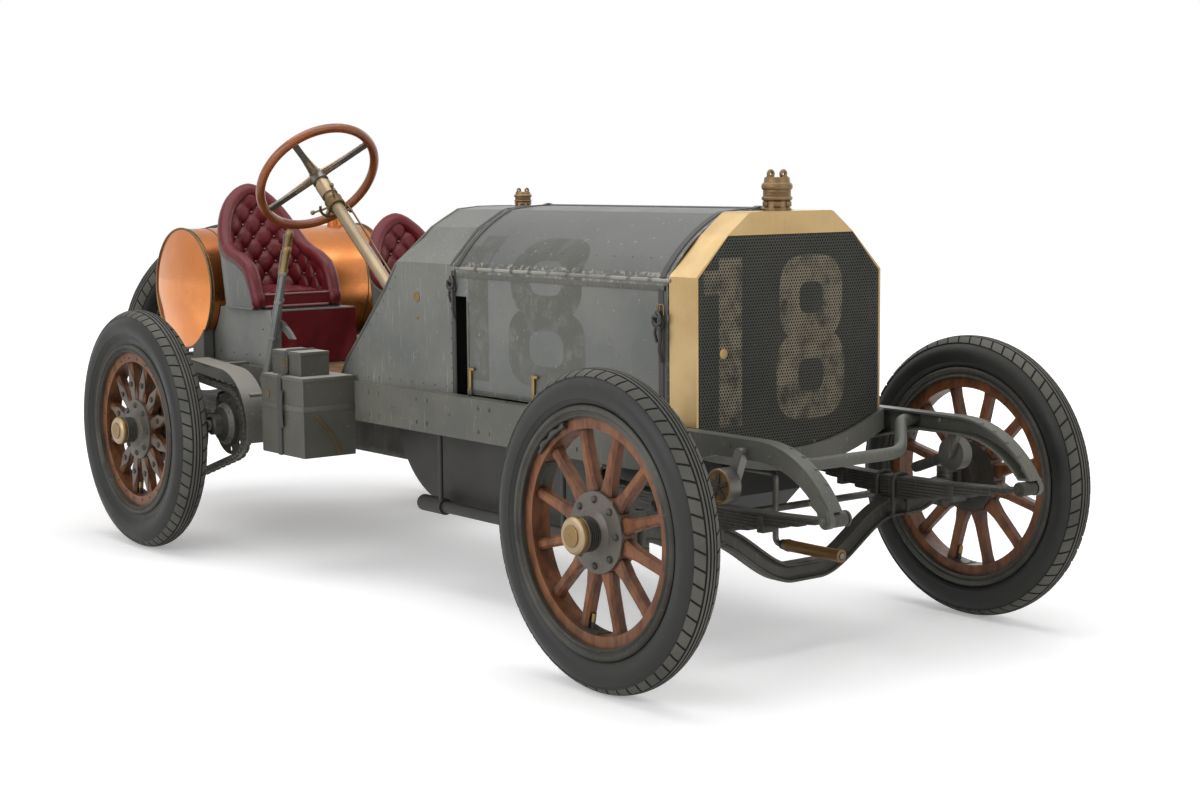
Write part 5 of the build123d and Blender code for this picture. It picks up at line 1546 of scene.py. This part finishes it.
def numberedPaint(name, paintedShadeTone=1.0, bounds=()):
    mat, tree, shader = newMaterial(name)
    look = metalFinishes["grey_paint"]
    wear = addWear(tree)
    axes = splitPlace(tree)
    digits = {side: numberMask(tree, axes["X"], axes["Z"], place) for side, place in hoodNumbers.items()}
    onRight = mathNode(tree, "LESS_THAN", axes["Y"], -0.10)
    onLeft = mathNode(tree, "GREATER_THAN", axes["Y"], 0.10)
    shown = mathNode(tree, "ADD", times(tree, digits["right"], onRight), times(tree, digits["left"], onLeft),
        True)
    patchy = rampNode(tree, noiseNode(tree, objectPlace(tree), 11.0, 6.0, 0.7), 0.30, 0.55)
    painted = times(tree, times(tree, shown, patchy), 0.88)
    # the tone factor darkens paint and number alike; below 1.0 it is painted shade
    base = mixColour(tree, wear["Stain"], tuple(part * paintedShadeTone for part in (0.126, 0.133, 0.126)),
        tuple(part * paintedShadeTone for part in (0.180, 0.184, 0.170)))
    lettered = mixColour(tree, painted, base, (0.088 * paintedShadeTone, 0.086 * paintedShadeTone, 0.072 * paintedShadeTone))
    speckMask = times(tree, wear["Speck"], 0.5)
    if bounds:
        speckMask = larger(tree, speckMask, times(tree, chippedEdges(tree, axes, bounds), 0.75))
    tree.links.new(mixColour(tree, speckMask, lettered, look["speck"]), shader.inputs["Base Color"])
    tree.links.new(mixValue(tree, wear["Stain"], 0.33, 0.50), shader.inputs["Roughness"])
    shader.inputs["Specular IOR Level"].default_value = look["shine"]
    addBump(tree, shader, wear["Grain"], 0.1, 0.001)
    return mat


def distanceFrom(tree, axes, x, z):
    across = minus(tree, axes["X"], x)
    up = minus(tree, axes["Z"], z)
    square = mathNode(tree, "ADD", times(tree, across, across), times(tree, up, up))
    return mathNode(tree, "SQRT", square)


def hubPaint(name, centre):
    mat, tree, shader = newMaterial(name)
    wear = addWear(tree)
    axes = splitPlace(tree)
    radius = distanceFrom(tree, axes, centre[0], centre[2])
    outer = minus(tree, times(tree, axes["Y"], 1 if centre[1] > 0 else -1), halfTrack)
    isRim = mathNode(tree, "GREATER_THAN", radius, 0.27)
    isCap = mathNode(tree, "GREATER_THAN", outer, 0.0795)
    isFlange = times(tree, mathNode(tree, "LESS_THAN", radius, 0.112), mathNode(tree, "GREATER_THAN", outer,
        0.0))
    greasy = mixColour(tree, wear["Stain"], (0.060, 0.052, 0.042), (0.030, 0.026, 0.022))
    flange = mixColour(tree, wear["Stain"], (0.120, 0.105, 0.088), (0.066, 0.056, 0.046))
    rimTone = mixColour(tree, wear["Stain"], (0.056, 0.052, 0.045), (0.090, 0.080, 0.066))
    capTone = mixColour(tree, wear["Stain"], (0.42, 0.335, 0.225), (0.30, 0.225, 0.135))
    colour = mixColour(tree, isFlange, greasy, flange)
    colour = mixColour(tree, isRim, colour, rimTone)
    colour = mixColour(tree, isCap, colour, capTone)
    tree.links.new(mixColour(tree, times(tree, wear["Speck"], 0.35), colour, (0.26, 0.22, 0.17)),
        shader.inputs["Base Color"])
    tree.links.new(mixValue(tree, isCap, 0.25, 0.95), shader.inputs["Metallic"])
    tree.links.new(mixValue(tree, wear["Stain"], 0.38, 0.60), shader.inputs["Roughness"])
    shader.inputs["Specular IOR Level"].default_value = 0.35
    addBump(tree, shader, wear["Grain"], 0.2, 0.001)
    return mat


sideEdges = (("X", behind(1.145), 0.010), ("X", behind(0.165), 0.010), ("Z", 0.678, 0.010), ("Z", 1.056,
    0.008))
dress(nodes["hood_side_right"], numberedPaint("hoodSidePaint", 1.0, sideEdges))
dress(nodes["hood_side_left"], nodes["hood_side_right"].material_slots[0].material)
# painted shade: the hood top's paint and its number are darkened to 0.60 of the sides' colour
dress(nodes["hood_top"], numberedPaint("hoodTopPaint", 0.60, (("Z", 1.082, 0.010), ("X", behind(1.195),
    0.010), ("X", behind(0.160), 0.008))))
for name, (centre, tubeRadius, section, rim) in wheelPlaces.items():
    dress(nodes["hub_" + name], hubPaint("hubPaint_" + name, centre))


# metal paler on its upper faces, or near-black painted shade on the faces that look forward
def facingFinish(name, colour, other, way, rough=0.5):
    mat, tree, shader = newMaterial(name)
    wear = addWear(tree)
    split = tree.nodes.new("ShaderNodeSeparateXYZ")
    tree.links.new(tree.nodes.new("ShaderNodeNewGeometry").outputs["Normal"], split.inputs["Vector"])
    facing = rampNode(tree, split.outputs[way], 0.35, 0.75)
    plain = mixColour(tree, wear["Stain"], colour, tuple(part * 0.7 for part in colour))
    speckled = mixColour(tree, times(tree, wear["Speck"], 0.6), plain, tuple(part * 2.2 for part in colour))
    tree.links.new(mixColour(tree, facing, speckled, other), shader.inputs["Base Color"])
    shader.inputs["Roughness"].default_value = rough
    shader.inputs["Specular IOR Level"].default_value = 0.3
    addBump(tree, shader, wear["Grain"], 0.12, 0.001)
    return mat


def tankCopper():
    mat, tree, shader = newMaterial("tankCopper")
    wear = addWear(tree)
    axes = splitPlace(tree)
    end = mathNode(tree, "GREATER_THAN", mathNode(tree, "ABSOLUTE", axes["Y"]), 0.397)
    barrel = mixColour(tree, wear["Stain"], (0.62, 0.235, 0.080), (0.44, 0.150, 0.048))
    polished = mixColour(tree, wear["Stain"], (0.66, 0.25, 0.080), (0.56, 0.19, 0.056))
    colour = mixColour(tree, end, barrel, polished)
    tree.links.new(mixColour(tree, times(tree, wear["Speck"], 0.35), colour, (0.22, 0.10, 0.05)),
        shader.inputs["Base Color"])
    rough = mixValue(tree, wear["Stain"], 0.20, 0.36)
    tree.links.new(times(tree, rough, mixValue(tree, end, 1.0, 0.45)), shader.inputs["Roughness"])
    shader.inputs["Metallic"].default_value = 1.0
    addBump(tree, shader, wear["Stain"], 0.10, 0.004)
    return mat


finishes["worn"] = facingFinish("worn", (0.125, 0.120, 0.104), (0.25, 0.24, 0.21), "Z", 0.6)
finishes["dusty"] = facingFinish("dusty", (0.082, 0.080, 0.064), (0.30, 0.29, 0.255), "Z")
# painted shade: the dash board's forward faces are near-black
finishes["dashBoard"] = facingFinish("dashBoard", (0.12, 0.062, 0.032), (0.006, 0.006, 0.005), "X", 0.6)
for node, finish in (("under_pan", "darkMetal"), ("exhaust_pipe", "darkMetal"), ("steering_column", "cream"),
        ("tool_boxes", "dusty"),
                     ("chain_guards", "worn"), ("levers", "panel"), ("dash_board", "dashBoard"),
                     ("seat_pedestal", "pedestal"),
                     ("engine_block", "darkMetal"), ("chain_sprocket_right", "sprocket"),
                     ("chain_sprocket_left", "sprocket")):
    dress(nodes[node], finishes[finish])
dress(nodes["fuel_tank"], tankCopper())
print("special finishes ready")


# running gear: chain pins, sprocket bolts, damper discs, U-bolts, clips, horn bolts
chainLoop = dict(rear=(rearX, 0.439, 0.200), counter=(behind(2.360), 0.480, 0.125), y=0.5752, pitch=0.021)


def chainPoints():
    (x1, z1, r1), (x2, z2, r2) = chainLoop["rear"], chainLoop["counter"]
    gapX, gapZ = x2 - x1, z2 - z1
    span = sqrt(gapX ** 2 + gapZ ** 2)
    ahead = Vector((gapX / span, gapZ / span))
    up = Vector((-ahead.y, ahead.x))
    lean = (r1 - r2) / span
    rise = sqrt(1 - lean ** 2)
    highWay = ahead * lean + up * rise
    lowWay = ahead * lean - up * rise
    line = []
    first, last = Vector((x1, z1)), Vector((x2, z2))
    line += [(first + highWay * r1).lerp(last + highWay * r2, k / 60) for k in range(60)]
    start, stop = highWay.angle_signed(ahead), lowWay.angle_signed(ahead)
    for k in range(60):
        turn = start + (stop - start) * k / 60
        line.append(last + (ahead * cos(turn) + up * sin(turn)) * r2)
    line += [(last + lowWay * r2).lerp(first + lowWay * r1, k / 60) for k in range(60)]
    for k in range(60):
        turn = stop - (2 * pi - (start - stop)) * k / 60
        line.append(first + (ahead * cos(turn) + up * sin(turn)) * r1)
    return line


def evenly(line, step):
    runs = [0.0]
    for k, spot in enumerate(line):
        runs.append(runs[-1] + (line[(k + 1) % len(line)] - spot).length)
    count = round(runs[-1] / step)
    made = []
    for k in range(count):
        run = runs[-1] * k / count
        j = min(bisect(runs, run) - 1, len(line) - 1)
        part = (run - runs[j]) / max(runs[j + 1] - runs[j], 1e-9)
        made.append(line[j].lerp(line[(j + 1) % len(line)], part))
    return made


pins, sprocketParts = [], {"right": [], "left": []}
for side, sign in both:
    for spot in evenly(chainPoints(), chainLoop["pitch"]):
        pins.append(turned(scaled(rivetDome, 0.0040), aimed((spot.x, sign * chainLoop["y"], spot.y),
            (0, sign, 0)), 8))
    x, z, radius = chainLoop["counter"]
    for k in range(8):
        turn = 2 * pi * k / 8
        spot = (x + 0.0675 * cos(turn), sign * (0.560 + 0.0305), z + 0.0675 * sin(turn))
        sprocketParts[side] += bolt(spot, (0.6 * cos(turn), sign, 0.6 * sin(turn)), 0.0055, turn)
    sprocketParts[side].append(turned([(0.020, 0), (0.020, 0.010), (0.017, 0.013), (0.006, 0.013)],
        aimed((x, sign * 0.6435, z), (0, sign, 0)), 6))
settle(cleanPiece("chainPins", pins), "chassis", finishes["steel"])
for side, sign in both:
    settle(cleanPiece("sprocketBolts_" + side, sprocketParts[side]), "chain_sprocket_" + side,
        finishes["steel"])


def makeFrontGear():
    dark, pale = [], []
    damper = (0.170 + frontX, 0.545)
    for sign in signs:
        face = Vector((damper[0], sign * 0.4720, damper[1]))
        out = Vector((0, sign, 0))
        pale.append(turned([(0.0465, -0.008), (0.0475, 0.000), (0.0455, 0.0024), (0.0405, 0.0026),
            (0.0390, 0.0010), (0.004, 0.0012)], aimed(face, out), 40))
        for k in range(5):
            turn = 2 * pi * k / 5 + 0.3
            way = Vector((cos(turn), 0, sin(turn)))
            line = [face + out * 0.0025 + way * 0.004, face + out * 0.0040 + way * 0.020,
                face + out * 0.0028 + way * 0.036]
            dark.append(ribbon(line, [out] * 3, 0.013, 0.0032))
        dark += bolt(face + out * 0.004, out, 0.0085)
        for middle, width, low, high in ((0.0, 0.033, 0.3545, 0.478), (-2.731, 0.033, 0.405, 0.545)):
            for lean in (-width, width):
                x = frontX + middle + lean
                y = sign * 0.370
                line = [(x, y - 0.031, low), (x, y - 0.031, high - 0.020), (x, y - 0.024, high - 0.004),
                    (x, y, high),
                        (x, y + 0.024, high - 0.004), (x, y + 0.031, high - 0.020), (x, y + 0.031, low)]
                dark.append(tube(line, 0.0062, 10))
                for lane in (-0.031, 0.031):
                    dark += bolt((x, y + lane, low + 0.004), (0, 0, -1), 0.0085)
        for distance in (0.19, -0.25):
            x = frontX - distance
            z = 0.4560
            dark.append(bar((x, sign * 0.370, z - 0.010), (0.024, 0.058, 0.046), 0.002))
            dark += bolt((x, sign * 0.4000, z - 0.010), out, 0.0060)
        eye = Vector((frontX + 0.505, sign * 0.370, 0.490))
        for way in (-1, 1):
            dark.append(turned([(0.021, -0.004), (0.021, 0.003), (0.018, 0.006), (0.004, 0.006)],
                aimed(eye + Vector((0, way * 0.030, 0)), (0, way, 0)), 24))
            dark += bolt(eye + Vector((0, way * 0.0365, 0)), (0, way, 0), 0.0105)
    return cleanPiece("frontGearBolts", dark), cleanPiece("frontGearBrass", pale)


gearDark, gearPale = makeFrontGear()
settle(gearDark, "chassis", finishes["iron"])
settle(gearPale, "chassis", finishes["bronze"])


# starting crank: copper sleeve with end rings, and a near-black disc in its end as painted shade of the
# socket
crankLook = dict(start=0.064, end=-0.158, height=0.296)


def makeCrankSleeve():
    start, end = (Vector((behind(crankLook[k]), 0, crankLook["height"])) for k in ("start", "end"))
    base = aimed(start, end - start)
    length = (end - start).length
    sleeve = turned([(0.0150, 0.0), (0.0178, 0.001), (0.0188, 0.010), (0.0172, 0.014),
        (0.0168, length * 0.5), (0.0172, length - 0.012),
                     (0.0186, length - 0.009), (0.0186, length - 0.001), (0.0165, length),
                     (0.0105, length + 0.0006)], base, 28)
    socket = turned([(0.0118, length - 0.004), (0.0118, length + 0.0012), (0.0005, length + 0.0010)], base,
        20)
    knuckle = turned([(0.0135, -0.020), (0.0150, -0.016), (0.0150, -0.002), (0.0135, 0.001)], base, 20)
    return cleanPiece("crankSleeve", [sleeve]), cleanPiece("crankSocket", [socket, knuckle])


sleeve, socket = makeCrankSleeve()
settle(sleeve, "chassis", finishes["crank"])
# the slot finish on the socket disc is painted shade of its hole; the knuckle shares it
settle(socket, "chassis", finishes["slot"])


# levers: brass grips, release rods, ratchet teeth
# each lever: distance out from the rail, distance behind the front axle and height of its top
leverLook = dict(pivotBehind=2.262, pivotHeight=0.640, rail=0.410, levers=((0.038, 2.096, 1.167),
    (0.060, 2.077, 1.111)),
                 toothRadius=0.2165, firstTooth=66, toothStep=3.1, teeth=16)


def makeLeverTrim():
    look = leverLook
    pale, dark = [], []
    for lane, topX, topZ in look["levers"]:
        pivot = Vector((behind(look["pivotBehind"]), -(look["rail"] + lane), look["pivotHeight"]))
        top = Vector((behind(topX), -(look["rail"] + lane), topZ))
        way = (top - pivot).normalized()
        base = aimed(top - way * 0.096, way)
        pale.append(turned([(0.0125, 0.0), (0.0142, 0.003), (0.0130, 0.010), (0.0122, 0.030),
            (0.0132, 0.060), (0.0122, 0.078),
                            (0.0150, 0.084), (0.0150, 0.096), (0.0110, 0.102), (0.004, 0.104)], base, 20))
        rear = Vector((-way.z, 0, way.x)) * 0.021
        dark.append(tube([top - way * 0.085 + rear * 1.2, top - way * 0.16 + rear, pivot + way * 0.235
            + rear], 0.0034, 8))
        dark.append(tube([top - way * 0.150, top - way * 0.105 + rear * 1.25, top - way * 0.02 + rear * 1.5],
            0.0042, 8))
        dark.append(bar(pivot + way * 0.215 + rear * 0.8, (0.022, 0.012, 0.030), 0.002))
        for reach in (0.16, 0.30, 0.41):
            dark.append(bar(pivot + way * reach, (0.036, 0.0105, 0.012), 0.0015))
        dark += bolt(pivot + Vector((0, -0.006, 0)), (0, -1, 0), 0.0125)
    for k in range(look["teeth"]):
        turn = radians(look["firstTooth"] + look["toothStep"] * k)
        reachX, reachZ = look["toothRadius"] * cos(turn), look["toothRadius"] * sin(turn)
        spot = Vector((behind(look["pivotBehind"]) + reachX, -0.4300, look["pivotHeight"] + reachZ))
        if -0.095 < spot.x - behind(2.192) < 0.095 and spot.z > 0.79:
            dark.append(bar(spot, (0.0062, 0.0115, 0.0062), 0.0008))
    return cleanPiece("leverGrips", pale), cleanPiece("leverRods", dark)


grips, rods = makeLeverTrim()
settle(grips, "chassis", finishes["brassDull"])
settle(rods, "chassis", finishes["panel"])


# tool boxes: lid bands, seam wires, strap with its buckle and a blank disc
def makeToolTrim():
    dark, straps, pale = [], [], []
    lowBox, highBox = (behind(2.030), behind(1.750), -0.6093, -0.4103, 0.420, 0.690), (behind(2.000),
        behind(1.812), -0.5803, -0.4703, 0.690, 0.772)
    for (x0, x1, y0, y1, z0, z1), lids in ((lowBox, (0.585, 0.6845)), (highBox, (0.7665,))):
        for z in lids:
            height = 0.018 if z < 0.6 else 0.011
            dark.append(bar(((x0 + x1) / 2, y0 - 0.0006, z), (x1 - x0 + 0.004, 0.0030, height), 0.001))
            for x, way in ((x0, -1), (x1, 1)):
                dark.append(bar((x + way * 0.0006, (y0 + y1) / 2, z), (0.0030, y1 - y0 + 0.003, height),
                    0.001))
        for x in (x0, x1):
            dark.append(tube([(x, y0, z0 + 0.002), (x, y0, z1 - 0.002)], 0.0024, 8))
    x = behind(1.905)
    line = [(x, -0.475, 0.7735), (x, -0.570, 0.7745), (x, -0.5815, 0.7700), (x, -0.5830, 0.715), (x, -0.5870,
        0.6960), (x, -0.6060, 0.6925),
            (x, -0.6125, 0.6860), (x, -0.6128, 0.560), (x, -0.6124, 0.4190)]
    ways = [(0, 0, 1), (0, -0.3, 1), (0, -1, 0.4), (0, -1, 0), (0, -0.8, 1), (0, -0.4, 1), (0, -1, 0.3),
        (0, -1, 0), (0, -1, 0)]
    straps.append(ribbon(line, ways, 0.026, 0.0030))
    loose = [(x + 0.016, -0.6155, 0.640), (x + 0.020, -0.6205, 0.600), (x + 0.021, -0.6210, 0.560),
        (x + 0.019, -0.6175, 0.515)]
    straps.append(ribbon(loose, [(0, -1, 0.1)] * 4, 0.024, 0.0028))
    pale += buckle((x, -0.5880, 0.735), (0, -1, 0), (0, 0, 1), 0.030, 0.026)
    seam = [(behind(1.7482), -0.470, 0.424), (behind(1.7482), -0.500, 0.490), (behind(1.7482), -0.560, 0.560)]
    pale.append(ribbon(seam, [(1, 0, 0)] * 3, 0.010, 0.0016))
    pale.append(turned([(0.0145, -0.002), (0.0145, 0.0018), (0.0120, 0.0026), (0.0115, 0.0018),
        (0.001, 0.0022)], aimed((behind(1.993), -0.6095, 0.622), (0, -1, 0)), 24))
    for z in (0.450, 0.545, 0.640):
        for distance in (1.762, 2.018):
            dark.append(turned(scaled(rivetDome, 0.0028), aimed((behind(distance), -0.6094, z), (0, -1, 0)),
                8))
    return cleanPiece("toolBoxBands", dark), cleanPiece("toolBoxStraps", straps,
        30), cleanPiece("toolBoxBrass", pale)


bands, boxStraps, boxBrass = makeToolTrim()
settle(bands, "chassis", finishes["olive"])
settle(boxStraps, "chassis", finishes["strap"])
settle(boxBrass, "chassis", finishes["bronze"])


# steering: hand levers and clamp below the wheel, rod beside the column, nuts on the hub
# hand levers: angle round the column and length; ribs: distance from the hub, half width, half height
steeringLook = dict(
    pitch=39.1, hubBehind=2.292, hubSide=-0.220, hubHeight=1.364, clampDrop=0.160, handLevers=((0.5, 0.105),
    (2.4, 0.085), (4.3, 0.075)),
    ribs=((0.018, 0.021, 0.0125), (0.060, 0.0165, 0.0110), (0.120, 0.0125, 0.0095), (0.175, 0.0100, 0.0085),
    (0.200, 0.0105, 0.0080), (0.214, 0.0105, 0.0070)),
    ribSection=((-1, -0.35), (-1, 0.15), (-0.45, 0.35), (-0.25, 1.0), (0.25, 1.0), (0.45, 0.35), (1, 0.15),
    (1, -0.35), (0.3, -1.0), (-0.3, -1.0)),
)


def makeSteeringTrim():
    look = steeringLook
    pitch = radians(look["pitch"])
    up = Vector((-cos(pitch), 0, sin(pitch)))
    hub = Vector((behind(look["hubBehind"]), look["hubSide"], look["hubHeight"]))
    side = Vector((0, 1, 0))
    across = up.cross(side)
    fixed, turning = [], []
    clamp = hub - up * look["clampDrop"]
    fixed.append(turned([(0.031, 0.0), (0.033, 0.002), (0.033, 0.010), (0.031, 0.012), (0.031, 0.028),
        (0.033, 0.030), (0.033, 0.038), (0.031, 0.040)], aimed(clamp - up * 0.02, up), 28))
    for turn, length in look["handLevers"]:
        way = side * cos(turn) + across * sin(turn)
        line = [clamp + way * 0.028, clamp + way * length * 0.6 + up * 0.006, clamp + way * length + up
            * 0.018]
        fixed.append(tube(line, 0.0042, 10))
        fixed.append(turned([(0.0005, -0.009), (0.006, -0.0075), (0.0088, 0.0), (0.006, 0.0075),
            (0.0005, 0.009)], aimed(line[-1], way), 14))
    arc = [clamp - up * 0.004 + (side * cos(t) + across * sin(t)) * 0.058 for t in (0.2 + 0.12 * k
        for k in range(24))]
    fixed.append(ribbon(arc, [up] * len(arc), 0.010, 0.004))
    lower = hub - up * 0.88
    rodLine = [clamp + side * 0.046 - up * 0.01, clamp + side * 0.050 - up * 0.06, lower + side * 0.034,
        lower + side * 0.030 - up * 0.06]
    fixed.append(tube(rodLine, 0.0036, 8))
    turning.append(turned([(0.022, -0.002), (0.022, 0.004), (0.018, 0.008), (0.006, 0.009)],
        aimed(hub + up * 0.001, up), 6))
    for k in range(4):
        turn = pi / 4 + pi / 2 * k
        way = side * cos(turn) + across * sin(turn)
        flank = up.cross(way)
        spots, faces = [], []
        for reach, half, thick in look["ribs"]:
            middle = hub - up * 0.006 + way * reach
            for share, lift in look["ribSection"]:
                spots.append(middle + flank * (half * share) + up * thick * lift)
        for part in range(5):
            for j in range(10):
                a, b = part * 10 + j, part * 10 + (j + 1) % 10
                faces.append((a, b, b + 10, a + 10))
        faces += [tuple(range(10)), tuple(50 + j for j in reversed(range(10)))]
        turning.append(makeMesh("arm", spots, faces))
        for reach in (0.192, 0.206):
            turning += bolt(hub + up * 0.001 + way * reach, up, 0.0040)
    return cleanPiece("columnLevers", fixed), cleanPiece("spiderRibs", turning)


columnLevers, spiderRibs = makeSteeringTrim()
settle(columnLevers, "chassis", finishes["bronze"])
settle(spiderRibs, "steering_wheel", finishes["cream"])


# fuel tank: end rims and soldered seams
# seams: distance from the middle, radius, thickness
tankLook = dict(behind=3.023, height=0.930, around=96, seams=((0.398, 0.2312, 0.0046), (0.386, 0.2305,
    0.0026), (0.300, 0.2302, 0.0020)))


def makeTankTrim():
    seams = []
    centre = Vector((behind(tankLook["behind"]), 0, tankLook["height"]))
    turns = [2 * pi * k / tankLook["around"] for k in range(tankLook["around"])]
    for sign in signs:
        for y, reach, size in tankLook["seams"]:
            ring = [centre + Vector((cos(t) * reach, sign * y, sin(t) * reach)) for t in turns]
            seams.append(tube(ring, size, 8, True))
    return cleanPiece("tankSeams", seams, 60)


settle(makeTankTrim(), "chassis", finishes["bronze"])


# filler caps: lugs round the foot, threads and two eyes; each point is radius and height
capLine = [(0.0, 0.000), (0.0410, 0.000), (0.0410, 0.006), (0.0385, 0.009), (0.0372, 0.012), (0.0372, 0.026),
    (0.0400, 0.029), (0.0437, 0.032),
           (0.0442, 0.037), (0.0425, 0.040), (0.0395, 0.0415), (0.0405, 0.044), (0.0390, 0.0465),
           (0.0405, 0.049), (0.0390, 0.0515), (0.0405, 0.054),
           (0.0395, 0.058), (0.0430, 0.061), (0.0446, 0.066), (0.0446, 0.072), (0.0420, 0.077),
           (0.0375, 0.080), (0.0365, 0.092), (0.0345, 0.095), (0.0, 0.095)]


def makeFillerCaps():
    parts = []
    seats = []
    for node, distance, wide, tall in (("radiator_shell", 0.107, 1.0, 1.0), ("cowl", 1.328, 0.66, 0.50)):
        hit = landed(node, (behind(distance), 0, 1.5), (0, 0, -1))
        seats.append((hit[0].z if hit else 1.2553, distance, wide, tall))
    for foot, distance, wide, tall in seats:
        base = Vector((behind(distance), 0, foot))
        parts.append(turned([(radius * wide, lift * tall) for radius, lift in capLine],
            aimed(base, (0, 0, 1)), 40))
        for k in range(6):
            turn = pi / 3 * k + 0.3
            spot = base + Vector((0.0385 * wide * cos(turn), 0.0385 * wide * sin(turn), 0.019 * tall))
            parts.append(bar(spot, (0.006 * wide, 0.022 * wide, 0.014 * tall), 0.001, Matrix.Rotation(turn,
                4, "Z")))
        for way in (-1, 1):
            eye = base + Vector((0, way * 0.0245 * wide, 0.1035 * tall))
            ring = [eye + Vector((0, cos(t) * 0.0088 * wide, sin(t) * 0.0088 * wide))
                for t in (2 * pi * k / 24 for k in range(24))]
            parts.append(tube(ring, 0.0052 * wide, 10, True))
            parts.append(bar(base + Vector((0, way * 0.0265 * wide, 0.0925 * tall)), (0.013 * wide,
                0.020 * wide, 0.010 * tall), 0.001))
    return cleanPiece("fillerCapsTurned", parts)


caps = makeFillerCaps()
settle(caps, "chassis", finishes["bronze"])
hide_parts("filler_caps")


# front axle: a forged beam of I section on one smooth curve, with pads and kingpin bosses
axleBeam = dict(low=0.207, height=0.055, width=0.046, rise=0.142, bendFrom=0.050, bendTo=0.360,
    kingpin=0.600, bossLow=0.375, bossHeight=0.080, steps=72)


def beamLift(y):
    part = min(max((abs(y) - axleBeam["bendFrom"]) / (axleBeam["bendTo"] - axleBeam["bendFrom"]), 0), 1)
    outer = min(max((abs(y) - 0.450) / 0.1375, 0), 1)
    return axleBeam["rise"] * part * part * (3 - 2 * part) + 0.038 * outer * outer * (3 - 2 * outer)


def makeBeam():
    look = axleBeam
    half, wide = look["height"] / 2, look["width"] / 2
    spots, faces = [], []
    for k in range(-look["steps"], look["steps"] + 1):
        y = (look["kingpin"] - 0.004) * k / look["steps"]
        slope = (beamLift(y + 0.001) - beamLift(y - 0.001)) / 0.002
        along = sqrt(1 + slope * slope)
        middle = Vector((frontX, y, look["low"] + half + beamLift(y)))
        up = Vector((0, -slope / along, 1 / along))
        web = 0.0072 + (wide - 0.0082) * min(max((abs(y) - 0.505) / 0.035, 0), 1)
        right = [(wide - 0.002, half), (wide, half - 0.002), (wide, half - 0.0075), (web + 0.0045,
            half - 0.0100), (web, half - 0.0150)]
        right += [(x, -z) for x, z in reversed(right)]
        section = right + [(-x, -z) for x, z in right]
        spots += [middle + Vector((x, 0, 0)) + up * z for x, z in section]
    count = 20
    for k in range(2 * look["steps"]):
        for j in range(count):
            a, b = k * count + j, k * count + (j + 1) % count
            faces.append((a, b, b + count, a + count))
    faces += [tuple(range(count)), tuple(2 * look["steps"] * count + j for j in reversed(range(count)))]
    parts = [makeMesh("beam", spots, faces)]
    for sign in signs:
        parts.append(bar((frontX, sign * 0.370, 0.3985), (0.054, 0.080, 0.020), 0.002))
        low, high = look["bossLow"], look["bossLow"] + look["bossHeight"]
        profile = [(0.0125, low), (0.0235, low), (0.0250, low + 0.003), (0.0250, low + 0.012),
            (0.0238, low + 0.016), (0.0238, high - 0.016), (0.0250, high - 0.012),
                   (0.0250, high - 0.003), (0.0235, high), (0.0125, high)]
        parts.append(turned(profile, aimed((frontX, sign * look["kingpin"], 0), (0, 0, 1)), 32, True))
    return cleanPiece("axleBeam", parts)


beam = makeBeam()
settle(beam, "chassis", finishes["iron"])
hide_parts("front_axle")
dot = turned([(0.0145, -0.002), (0.0145, 0.002), (0.0120, 0.003), (0.004, 0.0034)],
    aimed((behind(0.0440), -0.262, 0.867), (1, 0, 0)), 24)
settle(cleanPiece("grilleBoss", [dot]), "chassis", finishes["brassDull"])
print("small parts ready")
